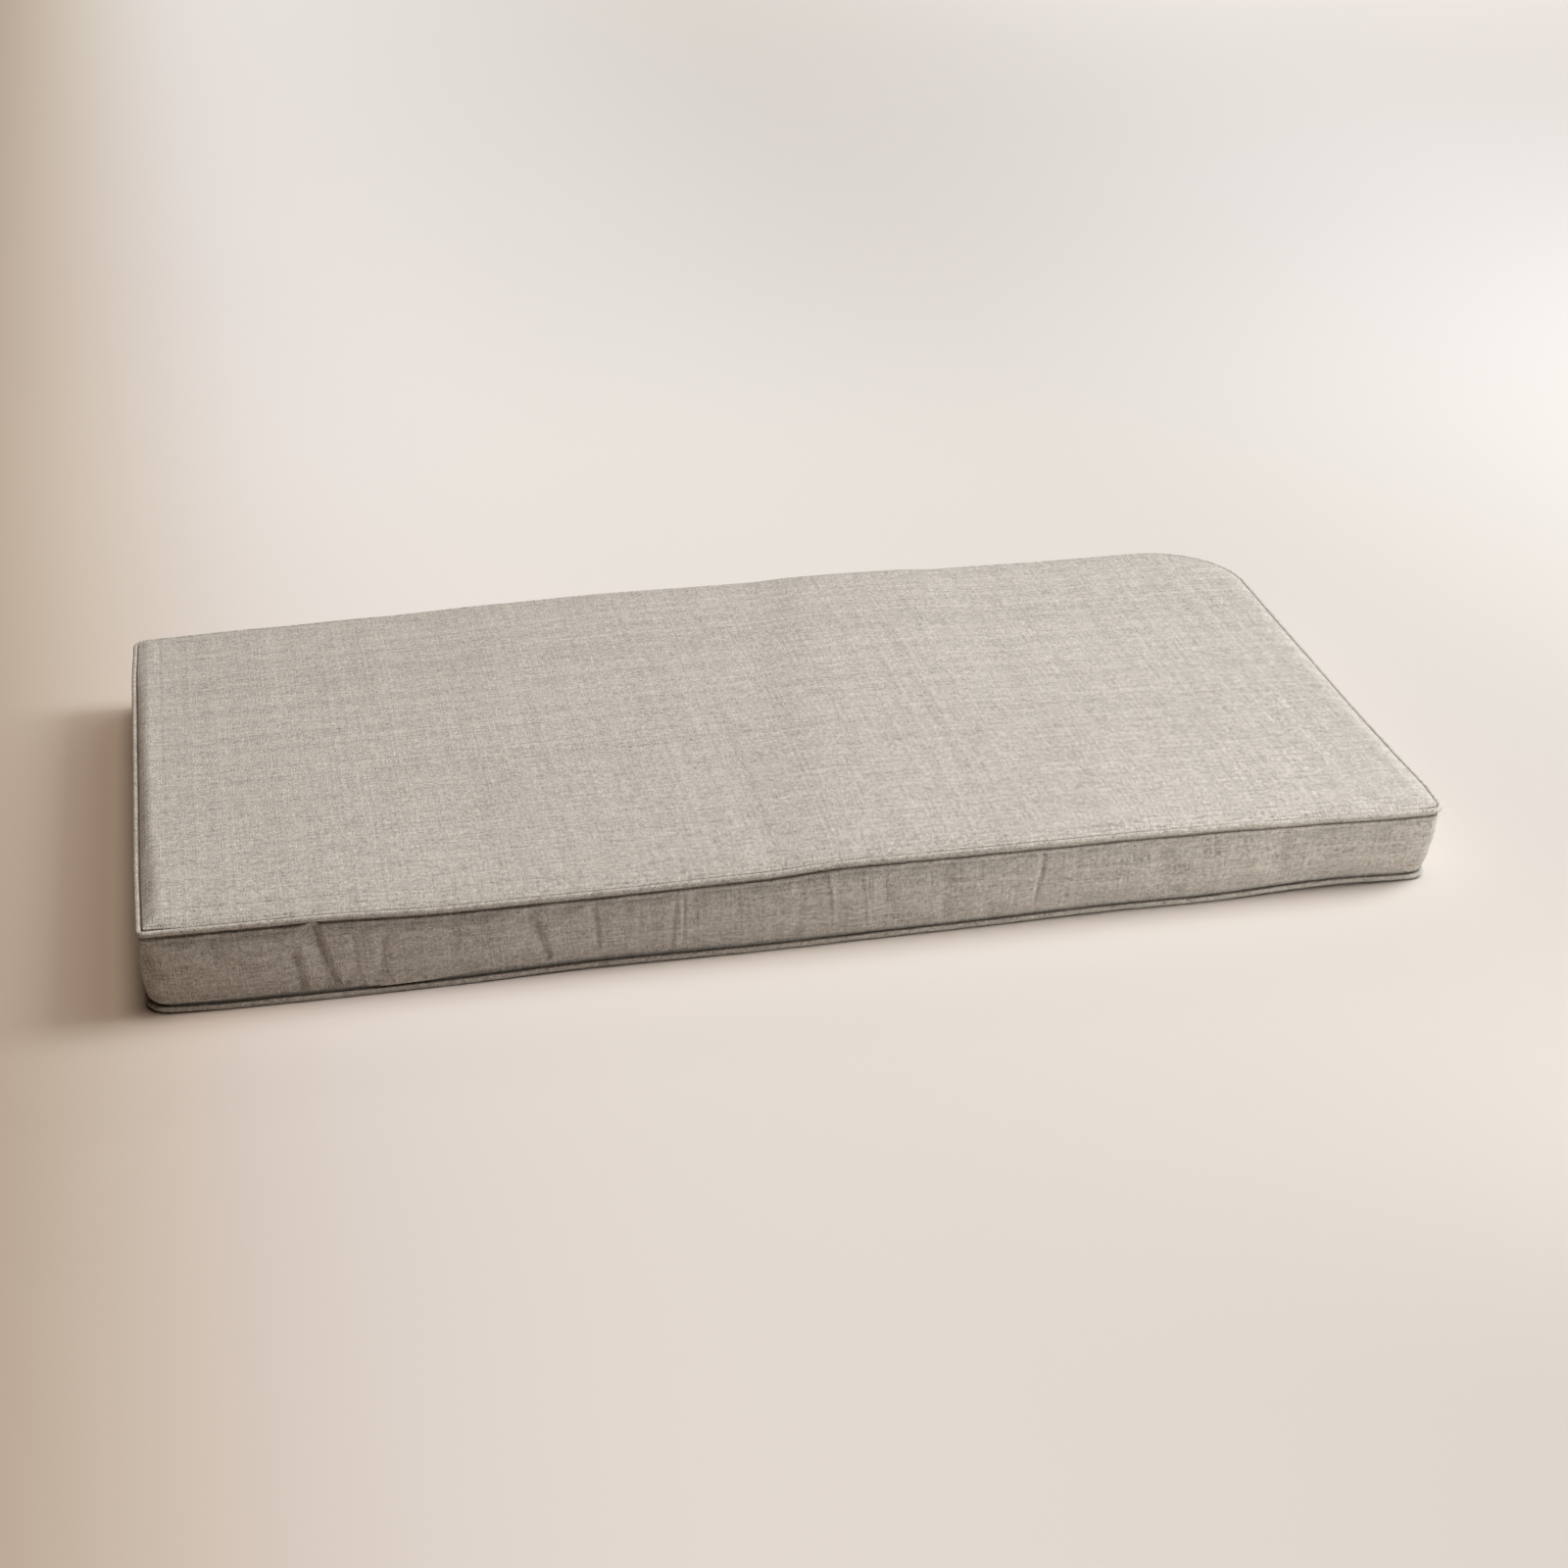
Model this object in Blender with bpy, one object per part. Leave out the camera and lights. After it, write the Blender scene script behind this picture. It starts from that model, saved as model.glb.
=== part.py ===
"""A long boxed bench cushion with self-fabric piping, lying on its back panel.

Metres, +Z up, X along the long front edge, front of the cushion at -Y.
The cushion is one filled solid: a crowned top panel, a boxing strip with the
folds that its length leaves in it, and a back panel that lies flat at z = 0.
A round piping runs in the seam above the boxing and another in the seam below.
Three corners are nearly square, and the right back corner is a wide round.
"""

import math
from collections import namedtuple

import bmesh
import bpy
import numpy as np
from mathutils import Vector

MM = 0.001

# Size between the middles of the pipings
LENGTH = 1.213
DEPTH = 0.631
BOXING_HEIGHT = 0.077

# Piping, and the hollow that the cover forms round it
PIPING_RADIUS = 3.0 * MM
PIPING_SIDES_EXTRA = 2
HOLLOW_RADIUS = 3.75 * MM
PIPING_LIFT = 3.4 * MM

# Plan corners in the order front left, front right, back right, back left
TOP_CORNERS = (6 * MM, 13 * MM, 97 * MM, 12 * MM)
BOTTOM_CORNERS = (17 * MM, 18 * MM, 101 * MM, 17 * MM)
HALF_CORNER_STEPS = (2, 2, 6, 2)
SHARPEST_CORNER = 1.5 * MM

# Stations along the seams
STEPS_LONG = 76
STEPS_SHORT = 28
FOLD_CROWDING = 3.2
FOLD_CROWD_REACH = 18 * MM

# Top panel, measured inward from the piping and up from its middle
LIP_IN = 2.65 * MM
LIP_UP = 2.65 * MM
SHOULDER_STEPS = ((6.5 * MM, 0.42), (13 * MM, 0.78), (26 * MM, 1.0))
CROWN = 2.5 * MM
CROWN_ROUNDNESS = 0.75

# Boxing strip
BOXING_FULLNESS = 2.6 * MM
BOXING_SHARES = (0.14, 0.32, 0.5, 0.68, 0.86)

# Back panel, flat where it rests
REST_INSET = 12 * MM

# How each seam strays from a straight line: place along the side, then how
# far it lies outward and upward
Stray = namedtuple("Stray", "place out up")

TOP_SEAM = {
    "front": (
        Stray(-0.606, 0.0, 3.0),
        Stray(-0.470, 0.0, 2.0),
        Stray(-0.330, 1.0, -2.0),
        Stray(-0.200, 1.0, -2.0),
        Stray(-0.060, 0.0, -1.5),
        Stray(0.030, -1.0, 2.0),
        Stray(0.170, 0.0, 1.5),
        Stray(0.290, 0.0, 1.0),
        Stray(0.380, 0.0, 0.0),
        Stray(0.470, 0.0, -2.5),
        Stray(0.570, 2.0, -4.5),
        Stray(0.606, 1.0, -5.0),
    ),
    "right": (
        Stray(-0.315, 6.0, -5.0),
        Stray(-0.270, 7.5, -4.0),
        Stray(-0.200, 2.5, -1.0),
        Stray(-0.100, 0.0, 0.0),
        Stray(0.050, 0.0, 0.0),
        Stray(0.315, 0.0, 0.0),
    ),
    "back": (
        Stray(-0.606, -2.0, -3.5),
        Stray(-0.480, -2.0, -1.0),
        Stray(-0.350, -1.0, 0.5),
        Stray(-0.220, 1.0, 3.0),
        Stray(-0.100, 2.0, 4.5),
        Stray(0.050, 1.0, 3.5),
        Stray(0.150, 1.5, 3.0),
        Stray(0.300, 1.0, 1.0),
        Stray(0.400, 0.0, 0.0),
        Stray(0.606, 0.0, 0.0),
    ),
    "left": (
        Stray(-0.315, 0.0, 3.0),
        Stray(-0.200, 1.0, 0.5),
        Stray(0.000, 0.5, 0.0),
        Stray(0.200, 0.0, 0.0),
        Stray(0.315, -2.0, -3.5),
    ),
}

BOTTOM_SEAM = {
    "front": (
        Stray(-0.606, -1.0, 1.0),
        Stray(-0.527, 2.0, 0.0),
        Stray(-0.450, 3.0, 0.0),
        Stray(-0.338, 2.5, 0.0),
        Stray(-0.208, -1.0, 0.8),
        Stray(-0.048, 1.0, 0.2),
        Stray(0.115, -0.5, 0.4),
        Stray(0.293, -3.0, 0.8),
        Stray(0.379, -1.5, 0.5),
        Stray(0.504, -5.0, 2.2),
        Stray(0.606, -2.0, 0.8),
    ),
    "right": (
        Stray(-0.315, -1.0, 0.8),
        Stray(-0.150, 0.0, 0.3),
        Stray(0.080, 1.0, 0.0),
        Stray(0.315, 0.0, 0.4),
    ),
    "back": (
        Stray(-0.606, -1.0, 0.6),
        Stray(-0.250, 1.0, 0.0),
        Stray(0.100, -1.0, 0.5),
        Stray(0.350, 1.0, 0.0),
        Stray(0.606, 0.0, 0.4),
    ),
    "left": (
        Stray(-0.315, -1.0, 1.0),
        Stray(-0.120, 1.0, 0.0),
        Stray(0.140, 0.0, 0.4),
        Stray(0.315, -1.0, 0.6),
    ),
}

# Height of the top panel above the piping, 26 mm in from it, along each side
Shoulder = namedtuple("Shoulder", "place height")

SHOULDERS = {
    "front": (
        Shoulder(-0.606, 7.0),
        Shoulder(-0.300, 7.5),
        Shoulder(0.200, 8.5),
        Shoulder(0.606, 7.5),
    ),
    "right": (
        Shoulder(-0.315, 7.5),
        Shoulder(0.000, 8.0),
        Shoulder(0.315, 6.5),
    ),
    "back": (
        Shoulder(-0.606, 6.0),
        Shoulder(-0.350, 5.5),
        Shoulder(-0.200, 8.5),
        Shoulder(0.040, 9.5),
        Shoulder(0.110, 14.0),
        Shoulder(0.220, 14.0),
        Shoulder(0.320, 7.5),
        Shoulder(0.606, 6.5),
    ),
    "left": (
        Shoulder(-0.315, 7.0),
        Shoulder(0.000, 9.0),
        Shoulder(0.315, 6.0),
    ),
}

# Folds of the front boxing: where each starts and ends, how deep its trough
# is, how high the lip on one side of it, and the trough's half width
Fold = namedtuple("Fold", "x_top x_low share_top share_low depth lip side width")

FOLDS = (
    Fold(-0.607, -0.595, 0.84, 0.54, 2.0, 0.8, 1, 5.0),
    Fold(-0.601, -0.595, 0.38, 0.15, 2.0, 0.8, 1, 5.0),
    Fold(-0.475, -0.466, 0.50, 0.08, 2.6, 1.6, -1, 5.5),
    Fold(-0.455, -0.438, 0.95, 0.12, 4.2, 2.6, -1, 5.5),
    Fold(-0.424, -0.427, 0.72, 0.20, 1.8, 0.6, -1, 7.0),
    Fold(-0.400, -0.403, 0.68, 0.16, 1.8, 0.6, 1, 7.0),
    Fold(-0.264, -0.248, 0.84, 0.18, 3.0, 1.8, -1, 5.5),
    Fold(-0.207, -0.202, 0.82, 0.32, 2.6, 1.4, -1, 5.5),
    Fold(-0.126, -0.130, 0.92, 0.12, 1.2, 0.4, 1, 7.0),
    Fold(-0.015, -0.015, 0.84, 0.26, 1.6, 1.0, -1, 5.0),
    Fold(0.013, 0.016, 0.90, 0.38, 1.6, 1.0, 1, 5.0),
    Fold(0.046, 0.049, 0.86, 0.20, 1.6, 0.8, 1, 5.0),
    Fold(0.062, 0.069, 0.78, 0.24, 2.0, 0.6, 1, 8.0),
    Fold(0.219, 0.210, 0.94, 0.20, 2.4, 1.2, 1, 6.0),
)
FOLD_END_FADE = 0.10
LIP_DISTANCE = 1.7
CROWDING_DEPTH = 1.8

COVER_COLOUR = (0.395, 0.352, 0.298, 1.0)
PIPING_COLOUR = (0.365, 0.325, 0.272, 1.0)
CLOTH_ROUGHNESS = 0.92


def soft_step(share):
    """Ease a share of the way, from 0 to 1, in and out."""
    share = min(1.0, max(0.0, share))
    return share * share * (3.0 - 2.0 * share)


def along_table(table, place, column):
    """Read one column of a table at a place, eased between its rows."""
    if place <= table[0].place:
        return getattr(table[0], column)
    for before, after in zip(table, table[1:]):
        if place <= after.place:
            share = soft_step((place - before.place) / (after.place - before.place))
            low = getattr(before, column)
            high = getattr(after, column)
            return low + (high - low) * share
    return getattr(table[-1], column)


def front_places(steps):
    """Shares of the front side at which stations stand, closer at the folds."""
    half = LENGTH / 2
    fine = np.linspace(-half, half, 1201)
    crowd = np.ones_like(fine)
    for fold in FOLDS:
        if fold.depth >= CROWDING_DEPTH:
            middle = (fold.x_top + fold.x_low) / 2
            crowd += FOLD_CROWDING * np.exp(-(((fine - middle) / FOLD_CROWD_REACH) ** 2))
    gone = np.concatenate(([0.0], np.cumsum((crowd[1:] + crowd[:-1]) / 2)))
    wanted = np.linspace(0.0, gone[-1], steps + 1)
    places = np.interp(wanted, gone, fine)
    return (places + half) / LENGTH


Station = namedtuple("Station", "point outward side")


def plan_loop(corners, inset):
    """Stations round the plan, anticlockwise from the front left corner."""
    half_x = LENGTH / 2 - inset
    half_y = DEPTH / 2 - inset
    signs = ((-1, -1), (1, -1), (1, 1), (-1, 1))
    radii = [max(SHARPEST_CORNER, radius - inset) for radius in corners]
    centres = [
        Vector((sx * (half_x - radius), sy * (half_y - radius)))
        for (sx, sy), radius in zip(signs, radii)
    ]
    sides = ("front", "right", "back", "left")
    counts = (STEPS_LONG, STEPS_SHORT, STEPS_LONG, STEPS_SHORT)
    stations = []
    for number, side in enumerate(sides):
        following = (number + 1) % 4
        facing = math.radians(-90 + 90 * number)
        outward = Vector((math.cos(facing), math.sin(facing)))
        steps_in = HALF_CORNER_STEPS[number]
        steps_out = HALF_CORNER_STEPS[following]
        straight = counts[number] - steps_in - steps_out
        for step in range(steps_in):
            angle = facing - math.radians(45) * (1 - step / steps_in)
            turned = Vector((math.cos(angle), math.sin(angle)))
            point = centres[number] + turned * radii[number]
            stations.append(Station(point, turned, side))
        start = centres[number] + outward * radii[number]
        end = centres[following] + outward * radii[following]
        if side == "front":
            shares = front_places(straight)
        else:
            shares = np.linspace(0.0, 1.0, straight + 1)
        for share in shares:
            stations.append(Station(start.lerp(end, float(share)), outward, side))
        for step in range(1, steps_out):
            angle = facing + math.radians(45) * step / steps_out
            turned = Vector((math.cos(angle), math.sin(angle)))
            point = centres[following] + turned * radii[following]
            stations.append(Station(point, turned, side))
    return stations


def table_place(station):
    """The coordinate by which a side's tables are read."""
    if station.side in ("front", "back"):
        return station.point.x
    return station.point.y


def seam_shift(station, seam):
    """How a seam strays in plan: outward by its table, and with its corners."""
    place = table_place(station)
    out = along_table(seam[station.side], place, "out")
    if station.side in ("front", "back"):
        corner = 0 if station.side == "front" else -1
        low = seam["left"][corner].out
        high = seam["right"][corner].out
        share = place / LENGTH + 0.5
        stretch = high * share - low * (1.0 - share)
        across = -out if station.side == "front" else out
        return Vector((stretch, across)) * MM
    corner = 0 if station.side == "left" else -1
    low = seam["front"][corner].out
    high = seam["back"][corner].out
    share = place / DEPTH + 0.5
    stretch = high * share - low * (1.0 - share)
    across = -out if station.side == "left" else out
    return Vector((across, stretch)) * MM


def seam_point(station, seam, level):
    """Where the middle of a piping runs at a station."""
    up = along_table(seam[station.side], table_place(station), "up") * MM
    plan = station.point + seam_shift(station, seam)
    return Vector((plan.x, plan.y, level + up))


def seam_ring(corners, seam, level, inward, up):
    """A ring of points at a fixed offset from a piping's middle."""
    ring = []
    middle = plan_loop(corners, 0.0)
    for station, moved in zip(middle, plan_loop(corners, inward)):
        centre = seam_point(station, seam, level)
        stray = centre.xy - station.point
        plan = moved.point + stray
        ring.append(Vector((plan.x, plan.y, centre.z + up)))
    return ring


def hollow_rings(corners, seam, level, angles):
    """Rings of the hollow in which a piping lies, by angle from outward."""
    rings = []
    for degrees in angles:
        inward = -HOLLOW_RADIUS * math.cos(math.radians(degrees))
        up = HOLLOW_RADIUS * math.sin(math.radians(degrees))
        rings.append(seam_ring(corners, seam, level, inward, up))
    return rings


def fold_depth(x, share):
    """How far the front boxing lies in or out at a place, from its folds."""
    total = 0.0
    for fold in FOLDS:
        run = (fold.share_top - share) / (fold.share_top - fold.share_low)
        x_line = fold.x_top + (fold.x_low - fold.x_top) * min(1.0, max(0.0, run))
        above = (fold.share_top + FOLD_END_FADE - share) / FOLD_END_FADE
        below = (share - fold.share_low + FOLD_END_FADE) / FOLD_END_FADE
        fade = soft_step(above) * soft_step(below)
        width = fold.width * MM
        away = (x - x_line) / width
        lip_away = away - fold.side * LIP_DISTANCE
        trough = -fold.depth * MM * math.exp(-away * away)
        lip = fold.lip * MM * math.exp(-lip_away * lip_away)
        total += fade * (trough + lip)
    return total


def boxing_rings(low_ring, high_ring):
    """Rings of the boxing strip between its two seams, full in the middle."""
    middle = plan_loop(TOP_CORNERS, 0.0)
    rings = []
    for share in BOXING_SHARES:
        fullness = BOXING_FULLNESS * math.sin(math.pi * share)
        ring = []
        for station, low, high in zip(middle, low_ring, high_ring):
            point = low.lerp(high, share)
            push = fullness
            if station.side == "front":
                push += fold_depth(point.x, share)
            plan = point.xy + station.outward * push
            ring.append(Vector((plan.x, plan.y, point.z)))
        rings.append(ring)
    return rings


def shoulder_rings():
    """Rings of the top panel where it rises from the piping."""
    middle = plan_loop(TOP_CORNERS, 0.0)
    level = PIPING_LIFT + BOXING_HEIGHT
    rings = []
    for inward, rise in SHOULDER_STEPS:
        ring = seam_ring(TOP_CORNERS, TOP_SEAM, level, inward, LIP_UP)
        for point, station in zip(ring, middle):
            place = table_place(station)
            height = along_table(SHOULDERS[station.side], place, "height") * MM
            point.z += (height - LIP_UP) * rise
        rings.append(ring)
    return rings


def crown_grid(border):
    """Rows of points that fill the top panel inside its last ring."""
    count = len(border)
    front = border[: STEPS_LONG + 1]
    right = border[STEPS_LONG : STEPS_LONG + STEPS_SHORT + 1]
    back = border[STEPS_LONG + STEPS_SHORT : 2 * STEPS_LONG + STEPS_SHORT + 1][::-1]
    left = [border[(count - row) % count] for row in range(STEPS_SHORT + 1)]
    rows = []
    for row in range(1, STEPS_SHORT):
        over = (left[row].y - left[0].y) / (left[-1].y - left[0].y)
        points = []
        for column in range(1, STEPS_LONG):
            across = (front[column].x - front[0].x) / (front[-1].x - front[0].x)
            between_long = front[column].lerp(back[column], over)
            between_short = left[row].lerp(right[row], across)
            front_corners = front[0].lerp(front[-1], across)
            back_corners = back[0].lerp(back[-1], across)
            point = between_long + between_short - front_corners.lerp(back_corners, over)
            dome = math.sin(math.pi * across) * math.sin(math.pi * over)
            point.z += CROWN * max(0.0, dome) ** CROWN_ROUNDNESS
            points.append(point)
        rows.append(points)
    return rows


def cushion_mesh():
    """The filled cushion as one closed body."""
    top_level = PIPING_LIFT + BOXING_HEIGHT
    rest = seam_ring(BOTTOM_CORNERS, BOTTOM_SEAM, PIPING_LIFT, REST_INSET, 0.0)
    for point in rest:
        point.z = 0.0
    bottom_hollow = hollow_rings(BOTTOM_CORNERS, BOTTOM_SEAM, PIPING_LIFT, (-135, -185, -235, -290))
    top_hollow = hollow_rings(TOP_CORNERS, TOP_SEAM, top_level, (-70, -125, -175, -225))
    boxing = boxing_rings(bottom_hollow[-1], top_hollow[0])
    rings = [rest] + bottom_hollow + boxing + top_hollow + shoulder_rings()
    bm = bmesh.new()
    ring_verts = [[bm.verts.new(point) for point in ring] for ring in rings]
    count = len(rest)
    bm.faces.new(list(reversed(ring_verts[0])))
    for lower, upper in zip(ring_verts, ring_verts[1:]):
        for number in range(count):
            after = (number + 1) % count
            bm.faces.new((lower[number], lower[after], upper[after], upper[number]))
    fill_crown(bm, ring_verts[-1], crown_grid(rings[-1]))
    bmesh.ops.recalc_face_normals(bm, faces=bm.faces)
    mesh = bpy.data.meshes.new("cushion")
    bm.to_mesh(mesh)
    bm.free()
    return mesh


def fill_crown(bm, border, rows):
    """Join the last ring of the top panel to the points that fill it."""
    count = len(border)
    grid = [border[: STEPS_LONG + 1]]
    for row, points in enumerate(rows, start=1):
        first = border[count - row]
        last = border[STEPS_LONG + row]
        grid.append([first] + [bm.verts.new(point) for point in points] + [last])
    grid.append(border[STEPS_LONG + STEPS_SHORT : 2 * STEPS_LONG + STEPS_SHORT + 1][::-1])
    for nearer, farther in zip(grid, grid[1:]):
        for column in range(STEPS_LONG):
            face = (
                nearer[column],
                nearer[column + 1],
                farther[column + 1],
                farther[column],
            )
            bm.faces.new(face)


def cloth_material(name, colour):
    """A matt woven cloth."""
    material = bpy.data.materials.new(name)
    material.use_nodes = True
    shader = material.node_tree.nodes["Principled BSDF"]
    shader.inputs["Base Color"].default_value = colour
    shader.inputs["Roughness"].default_value = CLOTH_ROUGHNESS
    shader.inputs["Metallic"].default_value = 0.0
    return material


def add_cushion(collection):
    """The filled cushion in its cover."""
    mesh = cushion_mesh()
    mesh.shade_smooth()
    mesh.materials.append(cloth_material("cover_cloth", COVER_COLOUR))
    cushion = bpy.data.objects.new("cushion", mesh)
    collection.objects.link(cushion)
    return cushion


def add_piping(collection, name, corners, seam, level):
    """One closed round piping that follows its seam."""
    curve = bpy.data.curves.new(name, "CURVE")
    curve.dimensions = "3D"
    curve.bevel_depth = PIPING_RADIUS
    curve.bevel_resolution = PIPING_SIDES_EXTRA
    spline = curve.splines.new("POLY")
    points = [seam_point(station, seam, level) for station in plan_loop(corners, 0.0)]
    spline.points.add(len(points) - 1)
    for spot, point in zip(spline.points, points):
        spot.co = (*point, 1.0)
    spline.use_cyclic_u = True
    spline.use_smooth = True
    curve.materials.append(cloth_material(name + "_cloth", PIPING_COLOUR))
    piping = bpy.data.objects.new(name, curve)
    collection.objects.link(piping)
    return piping


def centre_on_origin(objects):
    """Move the pieces together so that the middle of their outline is at 0, 0."""
    bpy.context.view_layer.update()
    corners = [piece.matrix_world @ Vector(spot) for piece in objects for spot in piece.bound_box]
    middle_x = (min(c.x for c in corners) + max(c.x for c in corners)) / 2
    middle_y = (min(c.y for c in corners) + max(c.y for c in corners)) / 2
    for piece in objects:
        piece.location.x -= middle_x
        piece.location.y -= middle_y


def remove_everything():
    """Start from an empty scene."""
    for item in list(bpy.data.objects):
        bpy.data.objects.remove(item, do_unlink=True)


def main():
    """Build the cushion and its two pipings."""
    remove_everything()
    collection = bpy.data.collections.new("bench_cushion")
    bpy.context.scene.collection.children.link(collection)
    top_level = PIPING_LIFT + BOXING_HEIGHT
    pieces = [
        add_cushion(collection),
        add_piping(collection, "top_piping", TOP_CORNERS, TOP_SEAM, top_level),
        add_piping(collection, "bottom_piping", BOTTOM_CORNERS, BOTTOM_SEAM, PIPING_LIFT),
    ]
    centre_on_origin(pieces)


if __name__ == "__main__":
    main()
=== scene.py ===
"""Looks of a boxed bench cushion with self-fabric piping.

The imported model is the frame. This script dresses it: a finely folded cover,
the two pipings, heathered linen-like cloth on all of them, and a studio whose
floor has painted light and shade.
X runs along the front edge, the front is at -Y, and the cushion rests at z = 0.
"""

import math
from collections import namedtuple

import bmesh
import bpy
import numpy as np
from bpy.props import FloatProperty, FloatVectorProperty, IntProperty, PointerProperty
from mathutils import Euler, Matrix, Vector


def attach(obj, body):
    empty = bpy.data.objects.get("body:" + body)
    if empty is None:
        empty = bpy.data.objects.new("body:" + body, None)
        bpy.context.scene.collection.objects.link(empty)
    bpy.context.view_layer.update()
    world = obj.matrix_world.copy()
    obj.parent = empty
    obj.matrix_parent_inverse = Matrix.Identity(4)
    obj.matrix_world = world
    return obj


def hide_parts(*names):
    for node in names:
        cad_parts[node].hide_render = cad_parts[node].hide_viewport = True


bl_info = {
    "name": "Piped bench cushion",
    "version": (1, 0, 0),
    "blender": (4, 5, 0),
    "location": "3D View > Sidebar > Cushion",
    "description": "Dresses the packed bench cushion in its cover, pipings and studio",
    "category": "Object",
}

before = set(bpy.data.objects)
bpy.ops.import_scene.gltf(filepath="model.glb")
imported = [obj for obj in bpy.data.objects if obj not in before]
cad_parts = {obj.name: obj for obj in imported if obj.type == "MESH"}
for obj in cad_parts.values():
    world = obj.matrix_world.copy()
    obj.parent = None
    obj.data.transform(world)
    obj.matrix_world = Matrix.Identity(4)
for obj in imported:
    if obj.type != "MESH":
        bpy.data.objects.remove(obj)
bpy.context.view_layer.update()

MM = 0.001


def rows(kind, *values):
    """A table: one named row from each group of numbers."""
    return tuple(kind(*row) for row in values)


# Size between the middles of the pipings, as in the part's source
LENGTH = 1.213
DEPTH = 0.631
BOXING_HEIGHT = 0.077
PIPING_LIFT = 3.4 * MM
TOP_PIPING_RADIUS = 2.7 * MM
BOTTOM_PIPING_RADIUS = 2.5 * MM
BOTTOM_PIPING_DROP = 0.7 * MM

SIDES = ("front", "right", "back", "left")
FACINGS = tuple(math.radians(angle) for angle in (-90, 0, 90, 180))

# Plan corners in the order front left, front right, back right, back left
TOP_CORNERS = (4.5 * MM, 8 * MM, 97 * MM, 12 * MM)
BOTTOM_CORNERS = (20 * MM, 16 * MM, 101 * MM, 17 * MM)
SHARPEST_CORNER = 1.5 * MM
HALF_CORNER_STEPS = (5, 6, 22, 6)

# How each seam strays from a straight line, in millimetres outward and upward
Stray = namedtuple("Stray", "place out up")

TOP_SEAM = {
    "front": rows(
        Stray,
        (-0.606, 0.0, 3.0), (-0.470, 0.0, 2.0), (-0.330, 1.0, -2.0),
        (-0.200, 1.0, -2.0), (-0.060, 0.0, -1.5), (0.030, -1.0, 2.0), (0.170, 0.0, 1.5),
        (0.290, 0.0, 1.0), (0.380, 0.0, 0.0), (0.470, 0.0, -2.5), (0.570, 2.0, -4.5),
        (0.606, 1.0, -5.0),
    ),
    "right": rows(
        Stray,
        (-0.315, 6.0, -5.0), (-0.270, 7.5, -4.0), (-0.200, 2.5, -1.0),
        (-0.100, 0.0, 0.0), (0.050, 0.0, 0.0), (0.315, 0.0, 0.0),
    ),
    "back": rows(
        Stray,
        (-0.606, -2.0, -3.5), (-0.480, -2.0, -1.0), (-0.350, -1.0, 0.5),
        (-0.220, 1.0, 3.0), (-0.100, 2.0, 4.5), (0.050, 1.0, 3.5), (0.150, 1.5, 3.0),
        (0.300, 1.0, 1.0), (0.400, 0.0, 0.0), (0.606, 0.0, 0.0),
    ),
    "left": rows(
        Stray,
        (-0.315, 0.0, 3.0), (-0.200, 1.0, 0.5), (0.000, 0.5, 0.0), (0.200, 0.0, 0.0),
        (0.315, -2.0, -3.5),
    ),
}

BOTTOM_SEAM = {
    "front": rows(
        Stray,
        (-0.606, -1.0, 1.0), (-0.527, 2.0, 0.0), (-0.450, 3.0, 0.0), (-0.338, 2.5, 0.0),
        (-0.208, -1.0, 0.8), (-0.048, 1.0, 0.2), (0.115, -0.5, 0.4), (0.293, -3.0, 0.8),
        (0.379, -1.5, 0.5), (0.504, -5.0, 2.2), (0.606, -2.0, 0.8),
    ),
    "right": rows(
        Stray,
        (-0.315, -1.0, 0.8), (-0.150, 0.0, 0.3), (0.080, 1.0, 0.0), (0.315, 0.0, 0.4),
    ),
    "back": rows(
        Stray,
        (-0.606, -1.0, 0.6), (-0.250, 1.0, 0.0), (0.100, -1.0, 0.5), (0.350, 1.0, 0.0),
        (0.606, 0.0, 0.4),
    ),
    "left": rows(
        Stray,
        (-0.315, -1.0, 1.0), (-0.120, 1.0, 0.0), (0.140, 0.0, 0.4), (0.315, -1.0, 0.6),
    ),
}

# Height of the top panel above the piping, 26 mm in from it, in millimetres
Shoulder = namedtuple("Shoulder", "place height")

SHOULDERS = {
    "front": rows(
        Shoulder,
        (-0.606, 8.5), (-0.550, 7.6), (-0.300, 7.5), (0.200, 8.5), (0.606, 7.5),
    ),
    "right": rows(
        Shoulder,
        (-0.315, 7.5), (0.000, 8.0), (0.315, 6.5),
    ),
    "back": rows(
        Shoulder,
        (-0.606, 6.0), (-0.350, 5.5), (-0.200, 8.5), (0.040, 9.5), (0.110, 14.0),
        (0.220, 14.0), (0.320, 7.5), (0.606, 6.5),
    ),
    "left": rows(
        Shoulder,
        (-0.315, 9.0), (-0.260, 12.0), (-0.100, 10.5), (0.000, 10.0), (0.315, 6.0),
    ),
}

# Edge of the top panel: the gap between it and the piping, how far in it has
# risen, both in millimetres, and how much of the rise comes early
Edge = namedtuple("Edge", "place gap reach bend")

EDGES = {
    "front": rows(
        Edge,
        (-0.606, 2.2, 20.0, 1.5), (-0.592, 1.2, 22.0, 1.9), (-0.575, 0.1, 26.0, 2.2),
        (0.150, 0.1, 26.0, 2.2), (0.420, -0.25, 26.0, 2.2), (0.575, -0.3, 26.0, 2.2),
        (0.606, 1.3, 24.0, 1.8),
    ),
    "right": rows(
        Edge,
        (-0.315, 1.8, 22.0, 1.8), (-0.285, 0.9, 24.0, 2.0), (0.315, 0.7, 26.0, 2.2),
    ),
    "back": rows(
        Edge,
        (-0.606, 0.6, 20.0, 1.8), (-0.560, 0.5, 26.0, 2.2), (0.606, 0.7, 26.0, 2.2),
    ),
    "left": rows(
        Edge,
        (-0.315, 2.2, 21.0, 1.6), (-0.230, 2.0, 20.0, 1.6), (-0.130, 2.0, 15.0, 1.8),
        (0.150, 2.0, 14.0, 1.8), (0.315, 0.7, 20.0, 2.0),
    ),
}

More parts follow.
